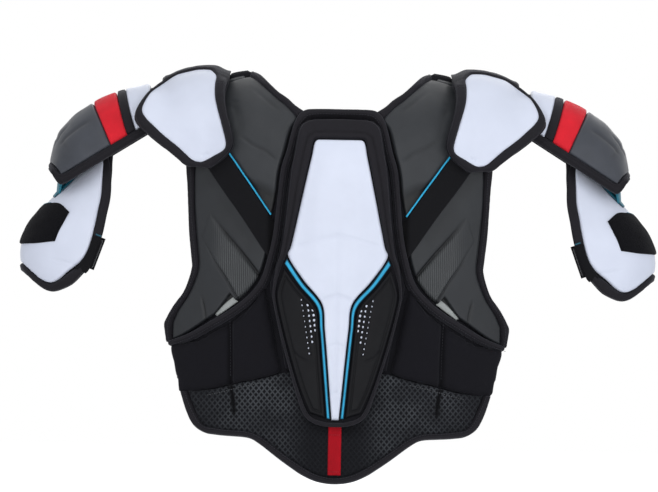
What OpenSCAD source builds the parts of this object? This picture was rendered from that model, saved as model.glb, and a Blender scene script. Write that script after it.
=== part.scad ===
// Ice hockey shoulder pads: a padded vest with back and chest shells, a spine
// guard, shoulder caps, arm caps and bicep guards. Millimetres, +Z up, the
// wearer faces +Y, and the left side is at -X. The right half is drawn and
// mirrored. Every panel is a thick patch on a curved sheet: a patch is drawn
// between two edge lines, and its faces stand at two distances off the sheet.

/* [Torso] */
// half width of the ellipse that the torso sheet follows
torso_half_w = 215; // [213:1:235]
// half depth of the torso sheet at the middle
torso_half_d = 95; // [85:1:110]
// how much the sheet closes towards the flanks
flank_drop = 110; // [90:1:112]
// rise of the shoulder arch above the straight part of the back
arch_rise = 80; // [72:1:90]

/* [Torso layers] */
// gap between stacked layers
gap = 0.6; // [0.5:0.05:0.8]
// mesh lining
liner_t = 3; // [2:0.5:4]
// moulded foam shells
shell_t = 7.4; // [5:0.2:9]
// sewn pads of the column, the kidneys and the tail
pad_t = 10.4; // [8:0.2:12]
// sewn edge binding
binding_t = 12; // [10:0.2:13]
// padded shield under the spine plate
shield_t = 5; // [3:0.5:7]
// rim round the spine plate
rim_t = 4; // [3:0.5:5]
// spine plate
plate_t = 4.2; // [3:0.2:5]
// moulded wings beside the plate stem
wing_t = 3; // [2:0.2:4]
// elastic and woven straps
strap_t = 1.8; // [1.2:0.2:2.4]
// diameter of the smallest wing perforation
perf_d = 2.6; // [2:0.1:3.2]

/* [Arms] */
// shoulder cap padding
cap_pad_t = 6; // [4:0.5:7]
// shoulder cap rim
cap_rim_t = 5; // [3:0.5:5.5]
// shoulder cap plate
cap_plate_t = 3.4; // [2:0.2:4]
// arm cap padding
arm_pad_t = 5; // [3:0.5:6]
// arm cap outer bands and shell
arm_shell_t = 4.6; // [3:0.2:5]
// bicep guard padding
bicep_pad_t = 4.6; // [3:0.2:5]
// bicep guard plate
bicep_plate_t = 3; // [2:0.2:3.4]
// width of the elastic belts at the flanks
belt_w = 38; // [30:1:44]

/* [Hidden] */
arch_len = 110;
seen_off = 12;
shell_off = liner_t + gap;
top_off = shell_off + shell_t;
strap_off = top_off + gap;
shield_off = shell_off + pad_t + gap;
plate_off = shield_off + shield_t + gap;
tongue_t = 2;
chest_off = shell_off + tongue_t + gap;
cap_rise = 70;
cap_top_off = cap_pad_t + gap;
arm_top_off = arm_pad_t + gap;
bicep_top_off = bicep_pad_t + gap;
patch_off = bicep_top_off + bicep_plate_t + gap;
arm_len = 60;
arm_tilt = 32;
arm_at = [214, 0, -30];
bicep_tilt = 20;
bicep_at = [275, 0, -100];

c_white = [0.84, 0.86, 0.93];
c_grey = [0.20, 0.21, 0.23];
c_black = [0.10, 0.10, 0.12];
c_edge = [0.15, 0.15, 0.17];
c_red = [0.80, 0.13, 0.17];
c_blue = [0.12, 0.55, 0.75];
c_silver = [0.66, 0.68, 0.70];

// crest heights and half depths of the sheets
torso_top = [[0, 2], [100, 2], [113, 0.5], [125, -3], [140, -7], [160, -12], [180, -18], [230, -32]];
cap_top = [[100, 7.2], [125, 9.2], [140, 10.7], [160, 11], [180, 6.5], [200, -1.5], [215, -1.5], [245, 3]];
cap_half = [[100, 96], [125, 91], [150, 82], [180, 77], [210, 75], [245, 75]];
arm_top = [[-26, 12.2], [-10, 18], [12, 26], [30, 31], [55, 34], [82, 32], [107, 24], [122, 9], [135, -6]];
arm_half = [[-10, 44], [30, 49], [70, 50], [100, 46], [120, 38], [135, 30]];
arm_base = -8;
bicep_top = [[-20, -2], [5, 9], [39, 25], [65, 37.5], [88, 46], [108, 48], [126, 43.5], [142, 33],
    [156, 20]];
bicep_half = [[-20, 28], [20, 33], [60, 41], [100, 45], [130, 43], [156, 36]];
bicep_base = -16;

// ---------- lines and sheets ----------
function mix(a, b, k) = a + (b - a) * k;
function curve(a, b, c, d, k) =
    0.5 * (2 * b + (c - a) * k + (2 * a - 5 * b + 4 * c - d) * k * k + (3 * b - a - 3 * c + d) * k * k * k);
// points of an open line, with n steps in each span
function fine(p, n) =
    let (m = len(p) - 1)
    [for (i = [0 : m - 1]) for (j = [0 : n - 1])
        curve(p[max(i - 1, 0)], p[i], p[i + 1], p[min(i + 2, m)], j / n), p[m]];
function back_to_front(p) = [for (i = [len(p) - 1 : -1 : 0]) p[i]];
function flip_x(p) = [for (q = p) [-q.x, q.y]];
// a right-hand line followed by its own mirror image
function both_ways(p) =
    concat(p, [for (i = [len(p) - 1 : -1 : 0]) if (p[i].x > 0.01) [-p[i].x, p[i].y]]);

// an arch over the shoulder: straight up the back, round, straight down the front
function arch(t, u, top, base, half, run) =
    u <= 0 ? [t, -half, base + u] :
    u >= 2 * run ? [t, half, base - (u - 2 * run)] :
    [t, -half * cos(90 * u / run), base + (top - base) * sin(90 * u / run)];

function torso_half(x) = torso_half_d - flank_drop * (1 - sqrt(1 - pow(min(x, 208) / torso_half_w, 2)));
torso = function (x, u)
    let (a = abs(x), top = lookup(a, torso_top))
    arch(x, u, top, top - arch_rise, torso_half(a), arch_len);
cap = function (x, u)
    let (top = lookup(x, cap_top))
    arch(x, u, top, top - cap_rise, lookup(x, cap_half), arch_len);
arm = function (t, u) arch(t, u, lookup(t, arm_top), arm_base, lookup(t, arm_half), arm_len);
bicep = function (t, u) arch(t, u, lookup(t, bicep_top), bicep_base, lookup(t, bicep_half), arm_len);

// a point at distance o off sheet s
function off(s, p, o) =
    let (e = 2, n = cross(s(p.x + e, p.y) - s(p.x - e, p.y), s(p.x, p.y + e) - s(p.x, p.y - e)))
    s(p.x, p.y) + o * n / norm(n);

// how far along the arch a height is met on the outer face
function reach(z, base, rise) =
    let (k = (z - base) / (rise + seen_off))
    k <= 0 ? z - base : arch_len * asin(min(1, k)) / 90;
// share of the outer face's distance that points sideways at the flank
function lean(x) =
    let (k = min(abs(x), 206) / torso_half_w, g = flank_drop * k / torso_half_w / sqrt(1 - k * k))
    sign(x) * g / sqrt(1 + g * g);
function on_back(p) = [for (q = p)
    let (x = q.x - seen_off * lean(q.x - seen_off * lean(q.x) / 2))
    [x, reach(q.y, lookup(abs(x), torso_top) - arch_rise, arch_rise)]];
function on_front(p) = [for (q = on_back(p)) [q.x, 2 * arch_len - q.y]];
function on_cap(p) = [for (q = p) [q.x, reach(q.y, lookup(q.x, cap_top) - cap_rise, cap_rise)]];

// thick patch on sheet s between lines a and b, n steps across, from offset lo
// to offset hi; edge is the share of the thickness kept along the border
module patch(s, a, b, n, lo, hi, edge = 1, loop = false) {
    m = len(a);
    w = n + 1;
    rim = lo + (hi - lo) * edge;
    pts = [for (k = [0, 1]) for (i = [0 : m - 1]) for (j = [0 : n])
        let (border = j == 0 || j == n || (!loop && (i == 0 || i == m - 1)))
        off(s, mix(a[i], b[i], j / n), k == 0 ? lo : border ? rim : hi)];
    rows = loop ? m - 1 : m - 2;
    step = m * w;
    turn = [for (i = [0 : m - 2]) cross(b[i] - a[i], a[i + 1] - a[i])] * [for (i = [0 : m - 2]) 1];
    raw = [
        for (i = [0 : rows]) for (j = [0 : n - 1])
            let (p = i * w + j, q = ((i + 1) % m) * w + j)
            each [[p, p + 1, q + 1], [p, q + 1, q],
                  [step + p, step + q + 1, step + p + 1], [step + p, step + q, step + q + 1]],
        for (i = [0 : rows])
            let (p = i * w, q = ((i + 1) % m) * w)
            each [[p, q, step + q], [p, step + q, step + p],
                  [p + n, step + q + n, q + n], [p + n, step + p + n, step + q + n]],
        if (!loop) for (j = [0 : n - 1])
            let (q = (m - 1) * w)
            each [[j, step + j, step + j + 1], [j, step + j + 1, j + 1],
                  [q + j, step + q + j + 1, step + q + j], [q + j, q + j + 1, step + q + j + 1]]
    ];
    polyhedron(pts, turn > 0 ? raw : [for (f = raw) [f[0], f[2], f[1]]], convexity = 10);
}
module left() mirror([1, 0, 0]) children();
module both() {
    children();
    left() children();
}
// seat of the arm cap's frame: X runs down the arm, Z away from it
module arm_frame() translate(arm_at) rotate([0, arm_tilt, 0]) children();
module bicep_frame() translate(bicep_at) rotate([0, 90 - bicep_tilt, 0]) children();

// ---------- back of the vest ----------
liner_edge = [[34, -38], [110, -62], [158, -96], [160, -150], [155, -205], [166, -250],
    [184, -292], [174, -340], [150, -385], [100, -394], [40, -432]];
module back_liner() {
    edge = on_back(liner_edge);
    color(c_edge) patch(torso, edge, flip_x(edge), 12, 0, liner_t);
}

binding_out = [[195, -296], [170, -286], [145, -271], [118, -254], [100, -238], [89, -222], [82, -200],
    [76, -172], [72, -135], [68, -97], [61, -72], [55, -47], [49, -34], [40, -28], [24, -27], [0, -27]];
binding_in = [[193.5, -303.5], [167, -294], [141, -279.5], [113, -262], [93, -244.5], [80, -227],
    [73, -203], [67, -174], [63, -136], [59, -98], [52, -74], [46, -50], [41, -42], [35, -37.5],
    [22, -36], [0, -36]];
module back_binding()
    color(c_edge) patch(torso, on_back(both_ways(binding_in)), on_back(both_ways(binding_out)), 2,
        shell_off, shell_off + binding_t, 0.6);

column_edge = [[30, -37.5], [40, -46], [44.5, -56], [51, -78], [58, -102], [62, -138], [66, -176],
    [71.5, -205], [78, -229], [73.5, -253], [66.5, -284], [58.5, -327]];
module column_pad() {
    edge = on_back(fine(column_edge, 2));
    color(c_black) patch(torso, edge, flip_x(edge), 8, shell_off, shell_off + pad_t, 0.8);
}

kidney_top = [[81.5, -232], [94, -247], [114, -264.5], [141.5, -282], [167.5, -296.5], [191.5, -305.5]];
kidney_low = [[60, -325.5], [82, -334], [105, -339.5], [130, -346], [155, -351], [177, -353.5]];
module kidney_pad()
    color(c_black) patch(torso, fine(on_back(kidney_low), 2), fine(on_back(kidney_top), 2), 5,
        shell_off, shell_off + pad_t, 0.6);

hem_out = [[178, -357], [171, -375], [163, -392], [153, -401], [140, -403.5], [118, -405], [99, -407],
    [88, -413], [77, -421], [65, -430], [52, -439], [37, -448.5], [20, -455.5], [0, -458]];
hem_in = [[170.5, -357], [163.5, -372], [156, -386], [149, -393], [138, -395], [118, -397], [97, -399],
    [83, -405], [72, -413], [60, -422], [47, -431], [33, -440], [18, -447], [0, -450]];
module hem_binding()
    color(c_edge) patch(torso, on_back(both_ways(hem_out)), on_back(both_ways(hem_in)), 2,
        shell_off, shell_off + binding_t, 0.6);

tail_top = [[169, -357], [160, -355], [140, -350.5], [118, -345], [97, -340.5], [83, -337], [72, -334],
    [60, -330.5], [47, -331], [33, -331], [18, -331], [0, -331]];
tail_low = [[155, -385.5], [148, -392], [138, -394], [118, -396], [97, -398], [82.5, -404], [71.5, -412],
    [59.5, -421], [46.5, -430], [32.7, -439], [17.8, -446], [0, -449]];
module tail_pad()
    color(c_black) patch(torso, on_back(both_ways(tail_low)), on_back(both_ways(tail_top)), 5,
        shell_off, shell_off + pad_t, 0.7);

module red_tab() {
    edge = on_back([[7.5, -397], [7.5, -410], [7.5, -424], [7.5, -438], [7.5, -448]]);
    color(c_red) patch(torso, edge, flip_x(edge), 1, shield_off, shield_off + 1.2);
}

upper_in = [[79.5, -155], [74.5, -133], [70.5, -99], [63.5, -73], [57.5, -48], [52.5, -38],
    [61, -28.5], [74, -18.5], [86, -8.5], [97.5, 1.5], [107, 8.5]];
upper_out = [[81, -158], [100, -129.5], [121, -98.5], [141, -71], [158, -61], [169, -48], [170, -36],
    [170, -26], [169.5, -17], [168, -10], [165, -6]];
module upper_shell()
    color(c_grey) patch(torso, on_back(upper_out), on_back(upper_in), 6, shell_off, top_off, 0.75);

lower_in = [[81, -161], [80, -175], [84.5, -199], [91.5, -220.5], [102, -235.5], [113, -245.5], [125, -254],
    [140, -263.5], [155, -272], [168, -279.5], [180, -285], [190, -289.5]];
lower_out = [[83, -159], [101.5, -131.5], [122.5, -101], [143, -73], [160, -65], [167.9, -100], [166.9, -145],
    [163, -185], [161.4, -212], [170.6, -239], [184.4, -261.5], [190.9, -276]];
window = [[115.5, -244], [132, -247], [145, -263]];
vent_t = 2;
vent_low = [[123, -246.4], [132.5, -252.4], [139.5, -257]];
vent_up = [[123.4, -245.6], [133, -248], [140, -255.6]];
module lower_shell()
    color(c_grey) difference() {
        patch(torso, on_back(lower_out), on_back(lower_in), 5, shell_off, top_off, 0.75);
        rotate([90, 0, 0]) linear_extrude(140) polygon(window);
    }
module vent_insert()
    color(c_silver) patch(torso, on_back(vent_low), on_back(vent_up), 1, shell_off, shell_off + vent_t);

strap_up = [[141, -62], [127, -82], [112, -103], [95, -127], [79, -150]];
strap_low = [[159, -84], [147, -103], [130, -127], [111, -153], [94, -178]];
module diagonal_strap()
    color(c_black) patch(torso, on_back(strap_low), on_back(strap_up), 3, strap_off, strap_off + strap_t);
// the strap's upper edge moved square to itself
function lift(p, d) = [for (q = p) [q.x - d * 0.83, q.y + d * 0.56]];
pipe_w = 2.2;
pipe_gap = 0.7;
module strap_pipe()
    color(c_blue) patch(torso, on_back(lift(strap_up, pipe_gap)), on_back(lift(strap_up, pipe_gap + pipe_w)),
        1, strap_off, strap_off + strap_t);

arm_hole_out = [[176, -24], [178, -45], [178, -70], [177, -100], [175.5, -117], [174, -145], [172.5, -172],
    [169.5, -200], [169, -213], [176.5, -237], [188, -254], [197, -270], [199.5, -277], [198, -289]];
arm_hole_in = [[171.5, -24], [171.5, -45], [171, -68], [168.5, -100], [168, -117], [167.5, -145], [165, -172],
    [162.5, -198], [162, -213], [170, -237], [179.5, -253], [188, -266], [191.5, -276], [192, -288]];
module armhole_binding()
    color(c_edge) patch(torso, on_back(arm_hole_out), on_back(arm_hole_in), 2,
        shell_off, shell_off + binding_t - 1, 0.6);

// ---------- spine guard ----------
shield_edge = [[36, -42], [45, -48], [49, -62], [55, -98], [60, -150], [65, -190], [71, -214], [73, -244],
    [66, -280], [56, -317], [45, -355], [36, -377], [21, -390]];
module spine_pad() {
    edge = on_back(fine(shield_edge, 2));
    color(c_black) patch(torso, edge, flip_x(edge), 8, shield_off, shield_off + shield_t, 0.7);
}
plate_edge = [[24, -64], [28.5, -68], [32, -85], [41, -128], [52, -182], [55.5, -197], [38, -224],
    [19.5, -250.5], [16, -280], [12.5, -320], [9, -360], [7, -384]];
plate_cols = 4;
module spine_plate() {
    edge = on_back(fine(plate_edge, 2));
    color(c_white) patch(torso, edge, flip_x(edge), plate_cols, plate_off, plate_off + plate_t, 0.8);
}
piping_t = 3.6;
piping_in = [[57, -199], [39.5, -226.5], [21, -251.5], [17.5, -280], [14, -320], [10.5, -360], [8.5, -383]];
piping_out = [[60, -205], [43.5, -230], [25.4, -254.5], [22, -280], [18.5, -320], [15, -360], [13, -383]];
module spine_pipe()
    color(c_blue) patch(torso, on_back(piping_out), on_back(piping_in), 1, plate_off, plate_off + piping_t);
wing_in = [[60.5, -209], [44.5, -232], [26.7, -256], [23.2, -280], [19.7, -320], [16.2, -360], [14.4, -382]];
wing_out = [[61, -213], [67, -232], [68, -246], [61, -278], [51, -315], [40, -350], [29, -376]];
// rows of round perforations: start, end, count, growth towards the stem
perf_rows = [
    [[38.8, -247], [28.5, -308], 11, 0],
    [[32.8, -256], [25.8, -294], 8, 0.4],
    [[29.4, -262], [25.4, -282], 5, 0.8]
];
module perforations()
    for (r = perf_rows) for (i = [0 : r[2] - 1])
        let (c = mix(r[0], r[1], i / (r[2] - 1)))
        translate([c.x, 0, c.y]) rotate([90, 0, 0]) cylinder(d = perf_d + r[3], h = 160, $fn = 6);
module spine_wing()
    color(c_black) difference() {
        patch(torso, on_back(wing_out), on_back(wing_in), 3, plate_off, plate_off + wing_t, 0.8);
        perforations();
    }
// the rim goes round the plate's upper part and the wings
rim_in = [[0, -62.5], [12, -62.5], [25, -62.5], [30, -67], [33.5, -84], [42.5, -128], [53.5, -182],
    [58.5, -196], [64, -210], [69, -230], [69.5, -247], [62.5, -279], [52.5, -316], [41.5, -351],
    [30, -378], [14, -386], [0, -387]];
rim_out = [[0, -43], [18, -43.5], [33, -44.5], [43, -50], [47.5, -64], [53.5, -98], [58.5, -150],
    [63.5, -190], [69, -208], [72, -228], [72.2, -246], [65, -281], [55, -318], [44, -355],
    [35, -379], [20, -389.5], [0, -392]];
// a half outline that starts and ends on the middle line, closed into a ring
function ring(p) = let (m = len(p) - 1)
    concat([for (i = [m : -1 : 1]) p[i]], [for (i = [0 : m - 1]) [-p[i].x, p[i].y]]);
module spine_rim()
    color(c_edge) patch(torso, on_back(ring(rim_out)), on_back(ring(rim_in)), 2,
        plate_off, plate_off + rim_t, 0.6, true);

// ---------- shoulders and chest ----------
yoke_back = on_back([[108, 9.5], [164.5, -4.5]]);
module shoulder_yoke() {
    a = [for (k = [0 : 4]) [108, mix(yoke_back[0].y, 2 * arch_len - yoke_back[0].y, k / 4)]];
    b = [for (k = [0 : 4]) [164.5, mix(yoke_back[1].y + 1, 2 * arch_len - yoke_back[1].y - 1, k / 4)]];
    color(c_grey) patch(torso, b, a, 4, shell_off, top_off, 0.75);
}
module shoulder_lining() {
    low = on_back([[114, -50], [158, -62]]);
    a = [for (k = [0 : 10]) [114, mix(low[0].y, 2 * arch_len - low[0].y, k / 10)]];
    b = [for (k = [0 : 10]) [158, mix(low[1].y, 2 * arch_len - low[1].y, k / 10)]];
    color(c_edge) patch(torso, b, a, 3, 0, liner_t);
}

neck_out_b = [[51, -25], [60, -16], [72, -9], [83, 1], [92, 9]];
neck_in_b = [[57.5, -29.5], [63, -22], [74.5, -14.5], [87, -4], [98, 5]];
neck_out_f = [[91, 5], [83, -6], [71, -22], [55, -42], [35, -60], [16, -70], [0.3, -73]];
neck_in_f = [[98, 1], [89, -11], [76, -28], [59, -49], [38, -67], [17, -77.5], [0.3, -80.5]];
module neck_binding()
    color(c_edge) patch(torso,
        concat(on_back(neck_in_b), [[105.5, arch_len]], on_front(neck_in_f)),
        concat(on_back(neck_out_b), [[98, arch_len]], on_front(neck_out_f)), 2,
        shell_off, shell_off + binding_t - 1, 0.6);
collar_in = [[98.9, 0.6], [89.9, -11.7], [76.9, -28.8], [59.9, -49.8], [40.4, -67.4]];
collar_out = [[113, -7], [102, -22], [88, -40], [70, -60], [48, -77]];
module collar_pad()
    color(c_black) patch(torso,
        fine(concat([[119, arch_len + 24]], on_front(collar_out)), 2),
        fine(concat([[108.5, arch_len + 22]], on_front(collar_in)), 2), 3,
        shell_off, shell_off + binding_t + 1, 0.5);

chest_in = [[123, 6.5], [118, -10], [106, -25.5], [89.5, -42], [71.5, -62], [49.5, -79.5], [35, -100],
    [34.5, -140], [34.5, -185], [35.5, -218]];
chest_out = [[163.5, -6], [167, -15], [169, -32], [168, -52], [165, -75], [161, -97], [157, -120],
    [155, -150], [158, -185], [166, -224]];
module chest_shell()
    color(c_grey) patch(torso, on_front(chest_out), on_front(chest_in), 6,
        chest_off, chest_off + shell_t, 0.75);
sternum_edge = [[21, -84], [31, -94], [33.5, -120], [33.5, -155], [33, -190], [25, -216]];
module sternum_plate() {
    edge = on_front(sternum_edge);
    color(c_white) patch(torso, edge, flip_x(edge), 4, chest_off, chest_off + plate_t + 2, 0.7);
}
chest_liner_edge = [[28, -83], [80, -90], [130, -100], [156, -112], [150, -140], [150, -185], [155, -228]];
module chest_liner() {
    edge = on_front(chest_liner_edge);
    color(c_edge) patch(torso, edge, flip_x(edge), 12, 0, liner_t);
}
belly_edge = [[70, -229], [96, -236], [112, -262], [112, -300], [96, -330], [60, -342]];
// fabric pad with a tongue that slides up behind the sternum plate
module belly_pad() {
    edge = on_front(belly_edge);
    tongue = on_front([[26, -176], [28, -195], [28, -212], [28, -234]]);
    color(c_black) {
        patch(torso, edge, flip_x(edge), 8, shell_off, shell_off + pad_t, 0.6);
        patch(torso, tongue, flip_x(tongue), 3, shell_off, shell_off + tongue_t);
    }
}

// elastic belt at the flank: kidney pad to chest
belt_path = [[181.8, -45.6], [188, -30], [190, -12], [190, 8], [187, 26], [179, 44], [166, 60.5]];
function beside(p, d) = [for (i = [0 : len(p) - 1])
    let (v = p[min(i + 1, len(p) - 1)] - p[max(i - 1, 0)], n = [v.y, -v.x] / norm(v)) p[i] + d * n];
belt_z = -344;
tab_in = 2;
tab_t = strap_t + 0.6;
tab_path = [[165.5, 61.1], [150, 76.5], [134, 87.5], [118, 96], [104, 101.5], [90, 105]];
function ribbon(p, t) = concat(fine(p, 2), back_to_front(beside(fine(p, 2), t)));
module side_belt() {
    color(c_black) translate([0, 0, belt_z]) linear_extrude(belt_w) polygon(ribbon(belt_path, strap_t));
    color(c_edge) translate([0, 0, belt_z + tab_in]) linear_extrude(belt_w - 2 * tab_in)
        polygon(ribbon(tab_path, tab_t));
}

// ---------- shoulder caps ----------
cap_in = [[148, -97], [133, -86], [122.5, -72], [123, -55], [129, -34], [132.5, -12], [132, 2], [129, 12]];
cap_out = [[172, -98], [195, -84], [222, -60], [236, -42], [237, -29], [225, -10], [213, 1.5], [206, 6]];
function saddle(p, x) =
    concat(on_cap(p), [[x, arch_len]], [for (q = back_to_front(on_cap(p))) [q.x, 2 * arch_len - q.y]]);
module cap_pad()
    color(c_black) patch(cap, saddle(cap_out, 204), saddle(cap_in, 128), 8, 0, cap_pad_t, 0.7);
cap_plate_in = [[155, -88], [141, -80], [130.5, -68], [135, -48], [142, -27], [146, -10], [146, 2],
    [145, 11], [150, 16.5]];
cap_plate_out = [[170, -90], [190, -79], [212, -57], [226, -39], [227, -26], [217, -9], [204, 2],
    [188, 11], [170, 16.5]];
module cap_plate()
    color(c_white) patch(cap, fine(on_cap(cap_plate_out), 2), fine(on_cap(cap_plate_in), 2), 8, cap_top_off,
        cap_top_off + cap_plate_t, 0.7);
ring_in_a = [[153.5, -90.5], [139, -82], [128.8, -69], [133.3, -48], [140.3, -27], [144.2, -10],
    [144.2, 2], [143.2, 12], [149.5, 18.5]];
ring_in_b = [[171, -92.5], [191.5, -80.8], [213.8, -58], [228, -39.5], [229, -25.5], [218.5, -7.5],
    [205.5, 4], [189, 13], [171, 18.3]];
crest = [for (x = [129, 148, 167, 186, 203]) [x, arch_len]];
ring_top = [[155, 19], [160, 19.1], [165, 19]];
module cap_rim()
    color(c_edge) patch(cap,
        concat(on_cap(cap_in), crest, back_to_front(on_cap(cap_out))),
        concat(on_cap(ring_in_a), on_cap(ring_top), back_to_front(on_cap(ring_in_b))), 2,
        cap_top_off, cap_top_off + cap_rim_t, 0.5, true);

// ---------- arm caps ----------
// slanted line across the arm cap: te at the lower edges, tc at the crest
arm_us = [4, 12, 24, 36, 48, 60, 72, 84, 96, 108, 116];
function slant(te, tc) = [for (u = arm_us) [mix(te, tc, sin(90 * u / arm_len)), u]];
module band(a, b, n, lo, hi, edge = 1) patch(arm, a, b, n, lo, hi, edge);
module arm_pad() {
    us = [-12, 0, 12, 24, 36, 48, 60, 72, 84, 96, 108, 120, 132];
    start = [for (u = us) [mix(14, -22, sin(max(0, min(180, 90 * u / arm_len)))), u]];
    end = [for (u = us) [mix(118, 127, sin(max(0, min(180, 90 * u / arm_len)))), u]];
    color(c_black) arm_frame() band(end, start, 9, 0, arm_pad_t, 0.8);
}
module arm_white_band()
    color(c_white) arm_frame() band(slant(27, 13.5), slant(12, 4), 1, arm_top_off, arm_top_off + arm_shell_t);
module arm_red_band()
    color(c_red) arm_frame() band(slant(61, 51.5), slant(39, 25), 2,
        arm_top_off, arm_top_off + arm_shell_t + 0.4);
// a narrow band inside the red one, and the long moulded shell outside it
module arm_shell()
    color(c_grey) arm_frame() {
        band(slant(38, 24), slant(28, 14.5), 1, arm_top_off, arm_top_off + arm_shell_t);
        band(slant(115, 123), slant(62, 52.5), 6, arm_top_off, arm_top_off + arm_shell_t, 0.85);
    }
roll_t = 1;
edge_out = [[10, -13], [30, -13], [55, -13], [80, -13], [105, -13], [124, -10], [130.5, 2], [132, 20],
    [132, 40], [132, 60]];
edge_in = [[10, 2.6], [30, 2.6], [55, 2.6], [80, 2.6], [105, 2.6], [115, 2.8], [118.5, 10], [122, 24],
    [123.6, 40], [124.4, 60]];
function across(p) = concat(p, [for (i = [len(p) - 2 : -1 : 0]) [p[i].x, 2 * arm_len - p[i].y]]);
module arm_edge()
    color(c_edge) arm_frame() band(across(edge_out), across(edge_in), 2,
        arm_top_off, arm_top_off + arm_shell_t + roll_t, 0.5);

// ---------- bicep guards ----------
guard_edge = [[-14, 4], [0, -4], [24, -9], [48, -12], [72, -13], [96, -12], [117, -8], [134, 3],
    [146, 20], [151, 38]];
guard_plate_edge = [[4, 12], [27, 6], [48, 3.5], [68, 2.5], [98, 3], [116, 8], [130, 18], [141, 34]];
guard_rows = fine(guard_edge, 2);
plate_rows = fine(guard_plate_edge, 2);
function far_side(p) = [for (q = p) [q.x, 2 * arm_len - q.y]];
module bicep_pad()
    color(c_black) bicep_frame() patch(bicep, guard_rows, far_side(guard_rows), 10, 0, bicep_pad_t, 0.8);
module bicep_plate()
    color(c_white) bicep_frame()
        patch(bicep, plate_rows, far_side(plate_rows), 10, bicep_top_off, bicep_top_off + bicep_plate_t, 0.7);
guard_rim_in = [[114, 4], [124, 11], [134, 20.5], [142.5, 34.5], [143.5, 60]];
guard_rim_out = [[117, -7.5], [132.5, 2], [144.5, 18], [150, 36], [151, 60]];
// padded border round the lower end, and the flat binding up the inner edge
module bicep_rim()
    color(c_edge) bicep_frame() {
        patch(bicep, across(fine(guard_rim_out, 2)), across(fine(guard_rim_in, 2)), 2,
            bicep_top_off, bicep_top_off + bicep_plate_t + 0.6, 0.5);
        patch(bicep, [[-4, 2], [24, -8], [48, -11], [72, -12]], [[2, 10], [26, 4.6], [48, 2.2], [72, 1.2]], 1,
            bicep_top_off, bicep_top_off + strap_t);
    }
module hook_patch()
    color(c_black) bicep_frame() patch(bicep, [[54, 24], [54, 36], [56, 48], [58, 60], [60, 72]],
        [[88, 24], [90, 36], [93, 48], [94, 60], [92, 72]], 3,
        patch_off, patch_off + strap_t);
link_w = 28;
link_len = 34.5;
link_from = [44.5, 36.6];
link_rise = 16;
// stitched end of the binding, and the webbing that ties the guard to the arm cap
module blue_trim()
    color(c_blue) bicep_frame() {
        patch(bicep, [[72.8, -12], [74.4, -12]], [[72.8, 1.2], [74.4, 1.2]], 1,
            bicep_top_off, bicep_top_off + strap_t);
        translate([link_from.x, -link_w / 2, link_from.y]) rotate([0, link_rise, 0])
            translate([-link_len, 0, 0]) cube([link_len, link_w, strap_t]);
    }
// elastic strap that closes the guard behind the arm, and its hook tab
module arm_strap()
    color(c_black) bicep_frame() translate([76, -51.6, bicep_base - 13.6 - strap_t])
        cube([34, 99.6, strap_t]);
module strap_tab()
    color(c_black) bicep_frame() patch(bicep, [[76, -13.2], [94, -13.2], [110, -13.2]],
        [[76, 1.2], [94, 1.6], [110, 4]], 2, bicep_top_off, bicep_top_off + strap_t + 0.6);

back_liner();
back_binding();
column_pad();
both() kidney_pad();  // kidney_pads
tail_pad();
hem_binding();
red_tab();
both() upper_shell();  // upper_shells
left() lower_shell();  // left_lower_shell
lower_shell();  // right_lower_shell
both() vent_insert();  // vent_inserts
both() diagonal_strap();  // diagonal_straps
both() strap_pipe();  // strap_piping
both() armhole_binding();  // armhole_bindings
spine_pad();
spine_plate();
both() spine_wing();  // spine_wings
both() spine_pipe();  // spine_piping
spine_rim();
both() shoulder_lining();  // shoulder_linings
both() shoulder_yoke();  // shoulder_yokes
both() neck_binding();  // neck_bindings
both() collar_pad();  // collar_pads
chest_liner();
both() chest_shell();  // chest_shells
sternum_plate();
belly_pad();
left() side_belt();  // left_side_belt
side_belt();  // right_side_belt
left() cap_pad();  // left_cap_pad
cap_pad();  // right_cap_pad
left() cap_plate();  // left_cap_plate
cap_plate();  // right_cap_plate
left() cap_rim();  // left_cap_rim
cap_rim();  // right_cap_rim
left() arm_pad();  // left_arm_pad
arm_pad();  // right_arm_pad
left() arm_white_band();  // left_arm_white_band
arm_white_band();  // right_arm_white_band
left() arm_red_band();  // left_arm_red_band
arm_red_band();  // right_arm_red_band
left() arm_shell();  // left_arm_shell
arm_shell();  // right_arm_shell
left() arm_edge();  // left_arm_edge
arm_edge();  // right_arm_edge
left() bicep_pad();  // left_bicep_pad
bicep_pad();  // right_bicep_pad
left() bicep_plate();  // left_bicep_plate
bicep_plate();  // right_bicep_plate
left() bicep_rim();  // left_bicep_rim
bicep_rim();  // right_bicep_rim
left() hook_patch();  // left_hook_patch
hook_patch();  // right_hook_patch
left() blue_trim();  // left_blue_trim
blue_trim();  // right_blue_trim
left() arm_strap();  // left_arm_strap
arm_strap();  // right_arm_strap
left() strap_tab();  // left_strap_tab
strap_tab();  // right_strap_tab
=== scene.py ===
import math

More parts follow.
